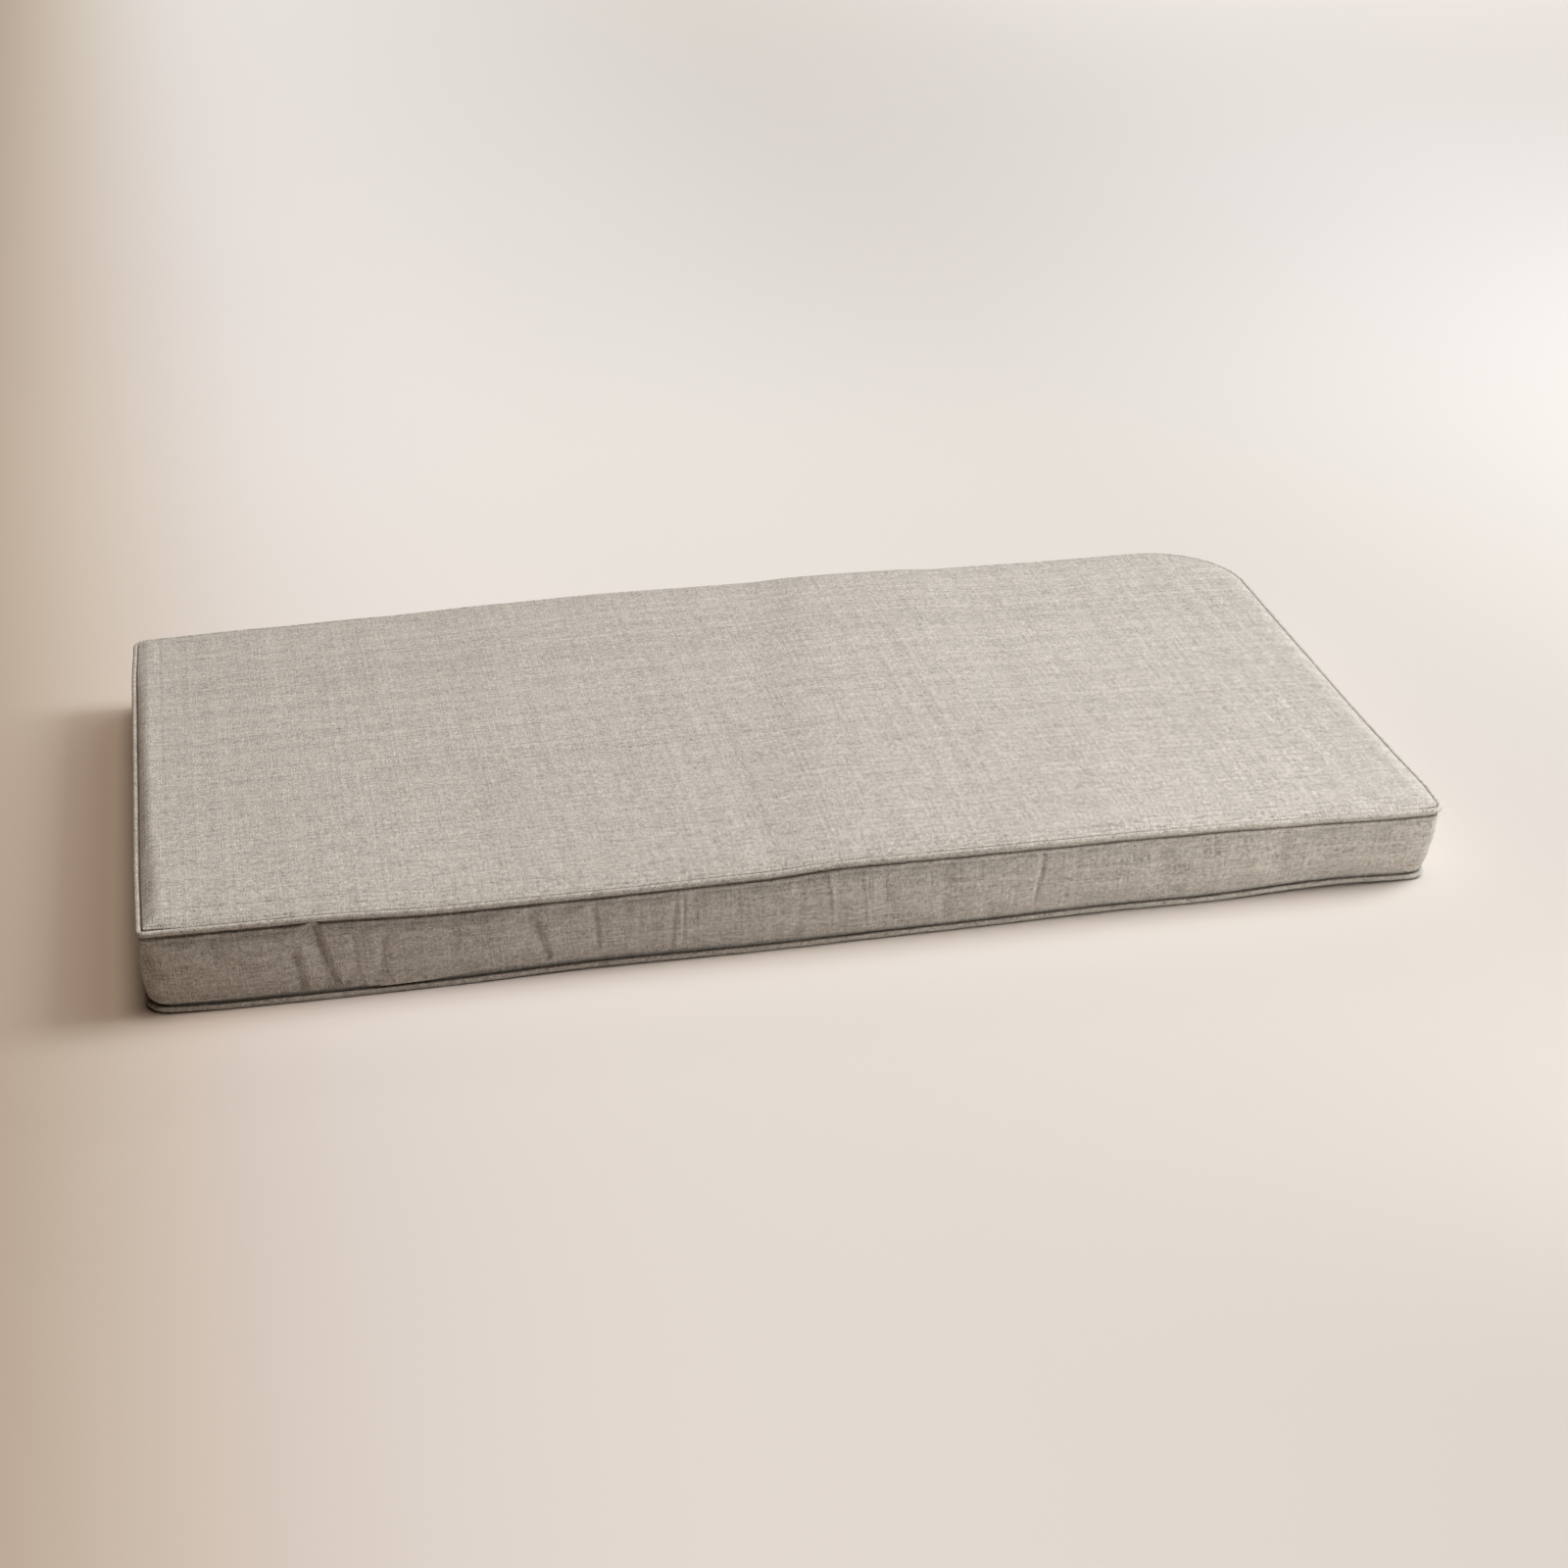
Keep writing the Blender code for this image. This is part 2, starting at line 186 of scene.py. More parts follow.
# Lower edge of the front boxing, in millimetres: how far it has ridden up off
# the bottom piping, and how far it hangs out over it
LowEdge = namedtuple("LowEdge", "place up out")

LOW_EDGE = rows(
    LowEdge,
    (-0.606, -0.9, 0.4), (-0.560, -0.6, 0.2), (-0.500, 0.2, 0.3), (-0.470, 0.9, 0.8),
    (-0.425, 0.6, 1.0), (-0.395, -2.4, 1.8), (-0.360, -2.2, 1.8), (-0.310, 2.8, 1.0),
    (-0.260, 3.0, 0.8), (-0.215, 1.4, 0.6), (-0.150, 2.0, 0.6), (-0.080, 1.2, 0.0),
    (0.060, -0.5, 0.0), (0.150, -0.2, 0.0), (0.330, 0.9, 0.2), (0.440, -0.3, 0.8),
    (0.606, -0.9, 1.0),
)

# How strongly the folds shape the lower edge and at what share of the height
# they are read, how far up the edge's stray reaches, and where its hang is full
LOW_EDGE_JAG = 1.3
LOW_EDGE_FOLDS = 0.02
LOW_EDGE_REACH = 0.30
LOW_EDGE_HANG = 0.04

# Distances in from the top piping's middle of the panel's outer rings, in
# millimetres
SHOULDER_STEPS = (3.3, 4.1, 5.2, 6.5, 8, 9.7, 11.5, 13.5, 16, 19, 22.5, 26)
CROWN_ROUNDNESS = 0.75
CROWN_EDGE = 4

# Rolled edge of the boxing beside a seam: for each ring its distance up from
# the seam and how deep it dips into the groove, in millimetres, and the share
# of the way out that it has reached
Roll = namedtuple("Roll", "step dip out")

ROLL = rows(
    Roll,
    (0.10, 1.0, 0.02), (0.20, 1.8, 0.10), (0.35, 1.9, 0.30), (0.60, 1.2, 0.52),
    (1.00, 0.3, 0.72), (1.60, 0.0, 0.87), (2.50, 0.0, 0.96), (4.00, 0.0, 0.99),
    (6.50, 0.0, 1.00),
)
ROLL_WIDTH = 3.5 * MM
BOXING_RINGS = 20
BOXING_TURNS = 6.2

# Hollows in which the pipings lie: the angle round the piping, the gap that is
# left to it in millimetres, and the share taken of the panel's own gap
Gap = namedtuple("Gap", "angle gap share")

BOTTOM_HOLLOW = rows(
    Gap,
    (-128, 0.6, 0.0), (-145, 0.9, 0.0), (-162, 1.3, 0.0), (-180, 1.8, 0.0),
    (-198, 2.3, 0.0), (-214, 2.9, 0.0), (-226, 3.4, 0.0),
)
TOP_HOLLOW = rows(
    Gap,
    (-126, 4.2, 0.0), (-140, 3.2, 0.0), (-158, 2.0, 0.2), (-178, 0.8, 0.5),
    (-198, 0.3, 0.6), (-212, 0.0, 1.0), (-226, 0.0, 1.0),
)
SEAM_RING = 3
REST_INSET = 12 * MM

# How far the part's source moved its pieces to centre them
CENTRING = np.array((-2.8023 * MM, 1.3837 * MM))

# Folds of the front boxing: where each starts and ends along the front and up
# the boxing, its depth in millimetres, the widths of its left and right wall.
# A negative depth is a ridge.
Fold = namedtuple("Fold", "x_top x_low share_top share_low depth left right")

FOLDS = rows(
    Fold,
    (-0.6030, -0.5930, 0.88, 0.46, 3.0, 6.0, 3.0),
    (-0.6010, -0.5920, 0.40, 0.14, 1.8, 5.0, 2.6),
    (-0.4735, -0.4660, 0.60, 0.05, 4.6, 7.0, 2.4),
    (-0.4535, -0.4375, 0.96, 0.06, 6.2, 9.0, 2.9),
    (-0.4200, -0.4230, 0.78, 0.16, 2.0, 6.0, 5.0),
    (-0.3960, -0.3990, 0.72, 0.16, 1.5, 6.0, 4.6),
    (-0.2620, -0.2460, 0.86, 0.16, 4.2, 8.0, 2.6),
    (-0.2230, -0.2240, 0.62, 0.34, 0.6, 5.0, 4.0),
    (-0.2050, -0.2010, 0.84, 0.30, 2.5, 6.0, 2.6),
    (-0.0150, -0.0150, 0.84, 0.26, 0.5, 2.5, 1.6),
    (0.0145, 0.0175, 0.92, 0.30, -1.2, 1.3, 2.0),
    (0.0470, 0.0500, 0.86, 0.20, -0.9, 1.3, 2.0),
    (0.0640, 0.0710, 0.78, 0.24, 1.5, 9.0, 5.5),
    (0.2190, 0.2100, 0.94, 0.20, 0.9, 4.0, 1.8),
    (0.2436, 0.2450, 0.50, 0.10, -0.5, 1.6, 2.2),
    (-0.4860, -0.4835, 0.10, 0.00, 1.3, 3.2, 1.8),
    (-0.4700, -0.4685, 0.14, 0.00, 1.7, 2.6, 1.6),
    (-0.4580, -0.4560, 0.10, 0.00, 1.2, 2.4, 1.6),
    (-0.4465, -0.4455, 0.15, 0.00, 1.8, 2.6, 1.6),
    (-0.4310, -0.4300, 0.11, 0.00, 1.4, 2.6, 1.8),
    (-0.4165, -0.4150, 0.13, 0.00, 1.5, 2.8, 1.8),
    (-0.4040, -0.4030, 0.10, 0.00, 0.8, 2.6, 1.8),
    (-0.5450, -0.5440, 0.92, 0.55, 0.8, 9.0, 8.0),
    (-0.3350, -0.3330, 0.90, 0.30, 0.9, 10.0, 8.0),
    (-0.3050, -0.3060, 0.95, 0.55, 0.6, 7.0, 5.0),
    (-0.1760, -0.1780, 0.90, 0.35, 0.7, 7.0, 6.0),
    (-0.0750, -0.0770, 0.85, 0.20, 0.7, 9.0, 7.0),
    (0.1200, 0.1210, 0.90, 0.15, 0.8, 12.0, 9.0),
    (0.3350, 0.3340, 0.90, 0.25, 0.8, 12.0, 9.0),
    (0.4550, 0.4560, 0.90, 0.25, 0.9, 14.0, 10.0),
)
FOLD_END_FADE = 0.10
CROWDING = 5.0
CROWD_REACH = 8 * MM
MOST_CROWDED = 3.6

# The folds die away before the corners of the boxing
CORNER_CLEAR = 1.3 * MM
CORNER_FADE = 5 * MM

# Join of the boxing's two lengths: its seam line and the edge of the turning
JOIN_LINES = ((-0.1292, -0.1345, 1.7), (-0.1211, -0.1248, 1.5))
JOIN_WIDTH = 1.2

# The one small wrinkle on the top panel, near the front left corner. It fades in
# and out over a share of its length and runs a little past its end, and a lip
# rises beside it, at a distance in its own widths.
WRINKLE_START = (-0.528, -0.2757)
WRINKLE_END = (-0.5215, -0.3068)
WRINKLE_DEPTH = 0.9
WRINKLE_WIDTH = 2.6 * MM
WRINKLE_FADE = 0.4
WRINKLE_OVERRUN = 1.2
WRINKLE_LIP = 0.7
WRINKLE_LIP_PLACE = 1.8

# Gathers along the edges of the boxing and of the top panel: how many, their
# widths and most lean in millimetres, the share of the depth that one may stand
# out instead of in, their least reach, and the share of the boxing that they
# may cross. The panel's are shallower.
TOP_GATHERS = 110
LOW_GATHERS = 130
PANEL_GATHERS = 120
GATHER_WIDTHS = (2.2, 6.5)
GATHER_LEAN = 7.0
GATHER_SWELL = 0.5
LEAST_GATHER_REACH = 0.25
BOXING_GATHER_REACH = 0.55
PANEL_GATHER_DEPTH = 0.55

# Slow wandering of the boxing's fullness
WANDER_WAVES = 14
WANDER_DEPTH = 0.7 * MM

# Unevenness of the bias strip over its cord, in waves to a metre
PIPING_WAVES = 210.0


# Shade of a thread: the weight of its long and its short slubs and of its own
# tone, the part of the noise that counts, and how much shorter the short ones are
LONG_SLUB = 0.28
SHORT_SLUB = 0.52
OWN_TONE = 0.26
SLUB_RANGE = (0.3, 0.7)
SLUB_SHORTENING = 4.5

# Contrast and lift of the threads each way, the streaks' part of their noise, the
# clouds in waves to a metre each way, and the relief
WEFT = (1.1, 0.13)
WARP = (0.8, 0.06)
STREAK_RANGE = (0.60, 0.74)
CLOUD_WAVES = (31.0, 47.0)
RELIEF_STRENGTH = 0.7
RELIEF_HEIGHT = 0.35 * MM


class CushionSizes(bpy.types.PropertyGroup):
    """Sizes of the dressed cushion that a user would change."""

    long_steps: IntProperty(
        name="Stations along a long side",
        description="Points along the front and the back edge of the cover",
        default=392,
        min=80,
    )
    short_steps: IntProperty(
        name="Stations along a short side",
        description="Points along the left and the right edge of the cover",
        default=96,
        min=40,
    )
    fullness: FloatProperty(
        name="Boxing fullness",
        description="How far the boxing swells between its seams",
        default=2.6 * MM,
        unit="LENGTH",
    )
    crown: FloatProperty(
        name="Crown",
        description="Rise of the top panel inside its shoulders",
        default=2.5 * MM,
        unit="LENGTH",
    )
    puff_long_steps: IntProperty(
        name="Cloth run, long",
        description="Points along a long side of the strip in the cloth run",
        default=170,
    )
    puff_short_steps: IntProperty(
        name="Cloth run, short",
        description="Points along a short side of the strip in the cloth run",
        default=84,
    )
    puff_rings: IntProperty(
        name="Cloth run, height",
        description="Rows of points up the strip in the cloth run",
        default=18,
    )
    puff_frames: IntProperty(
        name="Cloth run, frames",
        description="Frames for which the filling pushes",
        default=16,
    )
    puff_pressure: FloatProperty(
        name="Filling pressure",
        description="How hard the filling pushes on the boxing",
        default=4.0,
    )
    puff_stiffness: FloatProperty(
        name="Cloth stiffness",
        description="How the cloth resists bending",
        default=0.4,
    )
    puff_slack: FloatProperty(
        name="Cloth slack",
        description="How much longer the boxing's cloth is than its run",
        default=0.012,
    )
    puff_limit: FloatProperty(
        name="Most push",
        description="Largest distance that the filling may push the cloth",
        default=2.0 * MM,
        unit="LENGTH",
    )
    pucker_depth: FloatProperty(
        name="Pucker depth",
        description="Depth of the small gathers along the seams",
        default=0.7 * MM,
        unit="LENGTH",
    )
    pucker_seed: IntProperty(
        name="Pucker seed",
        description="Seed of the places of the small gathers",
        default=7,
    )
    piping_spacing: FloatProperty(
        name="Piping ring spacing",
        description="Distance between the rings of a piping",
        default=2.2 * MM,
        unit="LENGTH",
    )
    piping_sides: IntProperty(
        name="Piping sides",
        description="Points round a piping",
        default=16,
        min=8,
    )
    piping_wrinkle: FloatProperty(
        name="Piping wrinkle",
        description="Unevenness of the bias strip over its cord",
        default=0.16 * MM,
        unit="LENGTH",
    )


class ClothColours(bpy.types.PropertyGroup):
    """Colours and thread sizes of the cloth."""

    ground: FloatVectorProperty(
        name="Ground",
        description="Colour of most threads",
        subtype="COLOR",
        default=(0.462, 0.412, 0.360),
    )
    pale: FloatVectorProperty(
        name="Pale thread",
        description="Colour of the palest threads",
        subtype="COLOR",
        default=(0.800, 0.728, 0.658),
    )
    dark: FloatVectorProperty(
        name="Dark thread",
        description="Colour of the darkest threads",
        subtype="COLOR",
        default=(0.112, 0.098, 0.084),
    )
    thread_pitch: FloatProperty(
        name="Thread pitch",
        description="Distance from one thread to the next",
        default=1.3 * MM,
        unit="LENGTH",
    )
    fleck: FloatProperty(
        name="Fleck",
        description="How much single crossings of threads differ",
        default=0.22,
    )
    cloud: FloatProperty(
        name="Cloud",
        description="How much the cloth varies from patch to patch",
        default=0.16,
    )
    streak: FloatProperty(
        name="Streak",
        description="Depth of the few dark threads",
        default=0.16,
    )
    slub_length: FloatProperty(
        name="Slub length",
        description="Usual length of a thicker, tinted stretch of thread",
        default=22 * MM,
        unit="LENGTH",
    )


class StudioSettings(bpy.types.PropertyGroup):
    """Camera, floor and lights."""

    camera_place: FloatVectorProperty(
        name="Camera place",
        description="Where the camera stands",
        subtype="TRANSLATION",
        unit="LENGTH",
        default=(-0.4959, -2.5147, 1.3626),
    )
    camera_turn: FloatVectorProperty(
        name="Camera turn",
        description="Rotation of the camera as XYZ angles",
        subtype="EULER",
        default=(math.radians(62.0925), math.radians(-0.0986), math.radians(-11.8496)),
    )
    lens: FloatProperty(
        name="Lens",
        description="Focal length on a 36 mm sensor, in millimetres",
        default=65.09,
    )
    brightness: FloatProperty(
        name="Brightness",
        description="Factor on all the lights",
        default=1.0,
    )


def eased(table, column, places):
    """Read one column of a table at many places, eased between its rows."""
    stops = np.array([row.place for row in table])
    values = np.array([getattr(row, column) for row in table])
    index = np.clip(np.searchsorted(stops, places) - 1, 0, len(stops) - 2)
    share = (places - stops[index]) / (stops[index + 1] - stops[index])
    return values[index] + (values[index + 1] - values[index]) * soft_step(share)


def soft_step(share):
    """Ease shares of the way, from 0 to 1, in and out."""
    share = np.clip(share, 0.0, 1.0)
    return share * share * (3.0 - 2.0 * share)


def front_shares(steps):
    """Shares of the front side at which stations stand, closer at the folds."""
    half = LENGTH / 2
    fine = np.linspace(-half, half, 2401)
    crowd = np.ones_like(fine)
    narrow = [((fold.x_top + fold.x_low) / 2, min(fold.left, fold.right)) for fold in FOLDS]
    narrow += [((top + low) / 2, JOIN_WIDTH) for top, low, depth in JOIN_LINES]
    for middle, width in narrow:
        crowd += CROWDING / width * np.exp(-(((fine - middle) / CROWD_REACH) ** 2))
    crowd = np.minimum(crowd, MOST_CROWDED)
    gone = np.concatenate(([0.0], np.cumsum((crowd[1:] + crowd[:-1]) / 2)))
    places = np.interp(np.linspace(0.0, gone[-1], steps + 1), gone, fine)
    return (places + half) / LENGTH


Loop = namedtuple("Loop", "point outward side")


class Plan:
    """Stations round the cushion, anticlockwise from the front left corner."""

    def __init__(self, long_steps, short_steps):
        self.long = long_steps
        self.short = short_steps
        self.count = 2 * (self.long + self.short)

    def loop(self, corners, inset=0.0):
        """Plan points, outward directions and sides of the loop at an inset."""
        half = np.array((LENGTH / 2 - inset, DEPTH / 2 - inset))
        signs = np.array(((-1, -1), (1, -1), (1, 1), (-1, 1)))
        radii = np.maximum(SHARPEST_CORNER, np.array(corners) - inset)
        centres = signs * (half - radii[:, None])
        points, outwards, sides = [], [], []
        for number, facing in enumerate(FACINGS):
            after = (number + 1) % 4
            steps_in = HALF_CORNER_STEPS[number]
            steps_out = HALF_CORNER_STEPS[after]
            total = self.long if number % 2 == 0 else self.short
            straight = total - steps_in - steps_out
            quarter = math.radians(45)
            angles_in = facing - quarter * (1 - np.arange(steps_in) / steps_in)
            angles_out = facing + quarter * np.arange(1, steps_out) / steps_out
            outward = np.array((math.cos(facing), math.sin(facing)))
            start = centres[number] + outward * radii[number]
            end = centres[after] + outward * radii[after]
            shares = np.linspace(0.0, 1.0, straight + 1)
            if number == 0:
                shares = front_shares(straight)
            turned_in = np.stack((np.cos(angles_in), np.sin(angles_in)), axis=1)
            turned_out = np.stack((np.cos(angles_out), np.sin(angles_out)), axis=1)
            points.append(centres[number] + turned_in * radii[number])
            points.append(start + (end - start) * shares[:, None])
            points.append(centres[after] + turned_out * radii[after])
            outwards.append(turned_in)
            outwards.append(np.repeat(outward[None], straight + 1, axis=0))
            outwards.append(turned_out)
            sides.append(np.full(steps_in + straight + steps_out, number))
        return Loop(np.concatenate(points), np.concatenate(outwards), np.concatenate(sides))

    def read(self, tables, column, loop):
        """Read a table column for every station of a loop."""
        values = np.zeros(len(loop.side))
        for number, name in enumerate(SIDES):
            chosen = loop.side == number
            places = loop.point[chosen, number % 2]
            values[chosen] = eased(tables[name], column, places)
        return values

    def shift(self, seam, loop):
        """How a seam strays in plan: outward by its table, and with its corners."""
        out = self.read(seam, "out", loop)
        ends = {name: (seam[name][0].out, seam[name][-1].out) for name in SIDES}
        moved = np.zeros_like(loop.point)
        for number, name in enumerate(SIDES):
            chosen = loop.side == number
            axis = number % 2
            low_side, high_side = ("left", "right") if axis == 0 else ("front", "back")
            corner = 0 if name in ("front", "left") else 1
            size = (LENGTH, DEPTH)[axis]
            share = loop.point[chosen, axis] / size + 0.5
            stretch = ends[high_side][corner] * share - ends[low_side][corner] * (1 - share)
            sign = -1 if name in ("front", "left") else 1
            moved[chosen, axis] = stretch
            moved[chosen, 1 - axis] = sign * out[chosen]
        return moved * MM

    def seam(self, corners, seam, level):
        """Where the middle of a piping runs."""
        loop = self.loop(corners)
        plan = loop.point + self.shift(seam, loop)
        height = level + self.read(seam, "up", loop) * MM
        return np.column_stack((plan, height))

    def ring(self, corners, seam, level, inward, up):
        """A ring at a fixed offset from a piping's middle."""
        base = self.loop(corners)
        middle = self.seam(corners, seam, level)
        plan = self.loop(corners, inward).point + middle[:, :2] - base.point
        return np.column_stack((plan, middle[:, 2] + up))


def hollow(plan, corners, seam, level, radius, gaps):
    """Rings of the hollow in which a piping lies."""
    loop = plan.loop(TOP_CORNERS)
    own = plan.read(EDGES, "gap", loop)
    rings = []
    for angle, gap, share in gaps:
        out = math.cos(math.radians(angle))
        up = math.sin(math.radians(angle))
        reach = radius + gap * MM
        ring = plan.ring(corners, seam, level, -reach * out, reach * up)
        ring[:, :2] += loop.outward * (own * share * out * MM)[:, None]
        ring[:, 2] += own * share * up * MM
        rings.append(ring)
    return rings


def bottom_hollow(plan, gaps=BOTTOM_HOLLOW):
    """Hollow of the bottom piping."""
    level = PIPING_LIFT
    return hollow(plan, BOTTOM_CORNERS, BOTTOM_SEAM, level, BOTTOM_PIPING_RADIUS, gaps)


def top_hollow(plan, gaps=TOP_HOLLOW):
    """Hollow of the top piping."""
    level = PIPING_LIFT + BOXING_HEIGHT
    return hollow(plan, TOP_CORNERS, TOP_SEAM, level, TOP_PIPING_RADIUS, gaps)


def fold_push(x, share):
    """How far the front boxing lies in or out, from its folds."""
    total = np.zeros_like(x)
    for fold in FOLDS:
        run = (fold.share_top - share) / (fold.share_top - fold.share_low)
        line = fold.x_top + (fold.x_low - fold.x_top) * np.clip(run, 0.0, 1.0)
        above = (fold.share_top + FOLD_END_FADE - share) / FOLD_END_FADE
        below = (share - fold.share_low + FOLD_END_FADE) / FOLD_END_FADE
        width = np.where(x < line, fold.left, fold.right) * MM
        shape = np.exp(-(((x - line) / width) ** 2))
        total -= soft_step(above) * soft_step(below) * fold.depth * shape
    for top, low, depth in JOIN_LINES:
        line = top + (low - top) * (1.0 - share)
        away = (x - line) / (JOIN_WIDTH * MM)
        total -= depth * np.exp(-away * away) * math.sin(math.pi * share) ** 0.5
    from_corner = LENGTH / 2 - np.abs(x) - CORNER_CLEAR
    return total * MM * soft_step(from_corner / CORNER_FADE)


def gathers(draw, count, total, along, reach_shares, depth):
    """Small gathers that run off a seam, as depths for stations by reach."""
    push = np.zeros((len(reach_shares), len(along)))
    places = draw.uniform(0.0, total, count)
    widths = draw.uniform(*GATHER_WIDTHS, count) * MM
    reaches = draw.uniform(LEAST_GATHER_REACH, 1.0, count)
    depths = depth * draw.uniform(-GATHER_SWELL, 1.0, count)
    leans = draw.uniform(-GATHER_LEAN, GATHER_LEAN, count) * MM
    for place, width, reach, deep, lean in zip(places, widths, reaches, depths, leans):
        for row, share in enumerate(reach_shares):
            if share > reach:
                continue
            away = (along - place - lean * share + total / 2) % total - total / 2
            push[row] -= deep * np.exp(-((away / width) ** 2)) * (1 - share / reach)
    return push


def drift(draw, along, total, waves, depth):
    """A slow seeded wandering round the whole loop."""
    value = np.zeros_like(along)
    for number in range(1, waves + 1):
        phase = draw.uniform(0.0, 2 * math.pi)
        value += np.sin(2 * math.pi * number * along / total + phase) / math.sqrt(number)
    return value * depth / math.sqrt(waves)


def boxing_shares():
    """Shares of the boxing's height at which its rings lie."""
    ends = np.array([row.step for row in ROLL]) * MM / BOXING_HEIGHT
    middle = np.linspace(ends[-1], 1.0 - ends[-1], BOXING_RINGS)
    return np.concatenate((ends[:-1], middle, 1.0 - ends[:-1][::-1]))


def roll(share):
    """How far the boxing has rolled out at a share of its height, and its dip."""
    step = min(share, 1.0 - share) * BOXING_HEIGHT / MM
    steps = [0.0] + [row.step for row in ROLL]
    out = np.interp(step, steps, [0.0] + [row.out for row in ROLL])
    dip = np.interp(step, steps, [0.0] + [row.dip for row in ROLL])
    return out, dip * (1 if share < 0.5 else -1)


def boxing(plan, sizes, low, high, along, total, shares):
    """Rings of the boxing strip, with its folds and gathers."""
    loop = plan.loop(TOP_CORNERS)
    draw = np.random.default_rng(sizes.pucker_seed)
    wander = drift(draw, along, total, WANDER_WAVES, WANDER_DEPTH)
    depth = sizes.pucker_depth
    top_reach = (1 - shares) / BOXING_GATHER_REACH
    low_reach = shares / BOXING_GATHER_REACH
    from_top = gathers(draw, TOP_GATHERS, total, along, top_reach, depth)
    from_low = gathers(draw, LOW_GATHERS, total, along, low_reach, depth)
    front = loop.side == 0
    rings = []
    for row, share in enumerate(shares):
        point = low + (high - low) * share
        full = math.sin(math.pi * share)
        rolled, dip = roll(share)
        point[:, 2] += dip * MM
        push = full * (sizes.fullness + wander) + ROLL_WIDTH * rolled
        push += from_top[row] + from_low[row] + full * boxing_unevenness(along, share)
        push[front] += fold_push(point[front, 0], share)
        near = max(0.0, 1.0 - share / LOW_EDGE_REACH) ** 2
        if near:
            point[~front, 2] -= BOTTOM_PIPING_DROP * near
            edge = eased(LOW_EDGE, "up", point[front, 0]) * MM
            jag = -LOW_EDGE_JAG * fold_push(point[front, 0], LOW_EDGE_FOLDS)
            point[front, 2] += (edge + jag) * near
            hang = min(1.0, share / LOW_EDGE_HANG) * near
            push[front] += eased(LOW_EDGE, "out", point[front, 0]) * MM * hang
        plan_point = point[:, :2] + loop.outward * push[:, None]
        rings.append(np.column_stack((plan_point, point[:, 2])))
    return rings


def lengths_along(path):
    """Length along a closed path at each of its points, and its whole length."""
    steps = np.linalg.norm(np.diff(closed(path), axis=0), axis=1)
    along = np.concatenate(([0.0], np.cumsum(steps)))
    return along[:-1], along[-1]


def puffed(sizes):
    """How the filling pushes the boxing out, from a cloth run on a coarse strip.

    Returns the shares of the seam's length and of the boxing's height at which
    it was worked out, and the move at each.
    """
    plan = Plan(sizes.puff_long_steps, sizes.puff_short_steps)
    top = PIPING_LIFT + BOXING_HEIGHT
    along, total = lengths_along(plan.seam(TOP_CORNERS, TOP_SEAM, top))
    low = bottom_hollow(plan, BOTTOM_HOLLOW[-1:])[0]
    high = top_hollow(plan, TOP_HOLLOW[:1])[0]
    shares = np.linspace(0.0, 1.0, sizes.puff_rings)
    strip = boxing(plan, sizes, low, high, along, total, shares[1:-1])
    rings = np.stack([low, *strip, high])
    rows, count = rings.shape[:2]
    numbers = np.arange(rows * count).reshape(rows, count)
    after = np.roll(numbers, -1, axis=1)
    quads = np.stack((numbers[:-1], after[:-1], after[1:], numbers[1:]), axis=-1)
    mesh = bpy.data.meshes.new("puff")
    mesh.from_pydata(rings.reshape(-1, 3).tolist(), [], quads.reshape(-1, 4).tolist())
    strip_piece = bpy.data.objects.new("puff", mesh)
    bpy.context.scene.collection.objects.link(strip_piece)
    sewn = strip_piece.vertex_groups.new(name="sewn")
    sewn.add(numbers[[0, -1]].ravel().tolist(), 1.0, "REPLACE")
    run_cloth(strip_piece, sizes)
    graph = bpy.context.evaluated_depsgraph_get()
    puffed_mesh = strip_piece.evaluated_get(graph).to_mesh()
    points = np.zeros(rows * count * 3)
    puffed_mesh.vertices.foreach_get("co", points)
    bpy.data.objects.remove(strip_piece, do_unlink=True)
    move = points.reshape(rows, count, 3) - rings
    size = np.linalg.norm(move, axis=2, keepdims=True)
    move *= np.tanh(size / sizes.puff_limit) * sizes.puff_limit / np.maximum(size, 1e-9)
    return along / total, shares, move


def run_cloth(piece, sizes):
    """Let pressure fill out a strip that is sewn along both edges."""
    cloth = piece.modifiers.new("Cloth", "CLOTH")
    settings = cloth.settings
    settings.quality = 5
    settings.mass = 0.3
    settings.tension_stiffness = 15.0
    settings.compression_stiffness = 15.0
    settings.shear_stiffness = 5.0
    settings.bending_stiffness = sizes.puff_stiffness
    settings.vertex_group_mass = "sewn"
    settings.use_pressure = True
    settings.uniform_pressure_force = sizes.puff_pressure
    settings.shrink_min = -sizes.puff_slack
    settings.shrink_max = -sizes.puff_slack
    settings.effector_weights.gravity = 0.0
    cloth.collision_settings.use_collision = False
    cloth.point_cache.frame_start = 1
    cloth.point_cache.frame_end = sizes.puff_frames
    for number in range(1, sizes.puff_frames + 1):
        bpy.context.scene.frame_set(number)


def boxing_unevenness(along, share):
    """The slight hills and dips of the filled boxing.

    Each line has a height in millimetres and two waves, in radians to a metre
    along and to a turn up the boxing.
    """
    rise = BOXING_TURNS * share
    value = 0.40 * np.sin(118.0 * along + 1.6 * rise) * np.sin(0.9 * rise + 31.0 * along)
    value += 0.30 * np.sin(263.0 * along - 2.3 * rise + 1.0) * np.sin(1.7 * rise + 47.0 * along)
    value += 0.16 * np.sin(431.0 * along + 3.1 * rise) * np.sin(2.9 * rise - 83.0 * along + 0.6)
    return value * MM


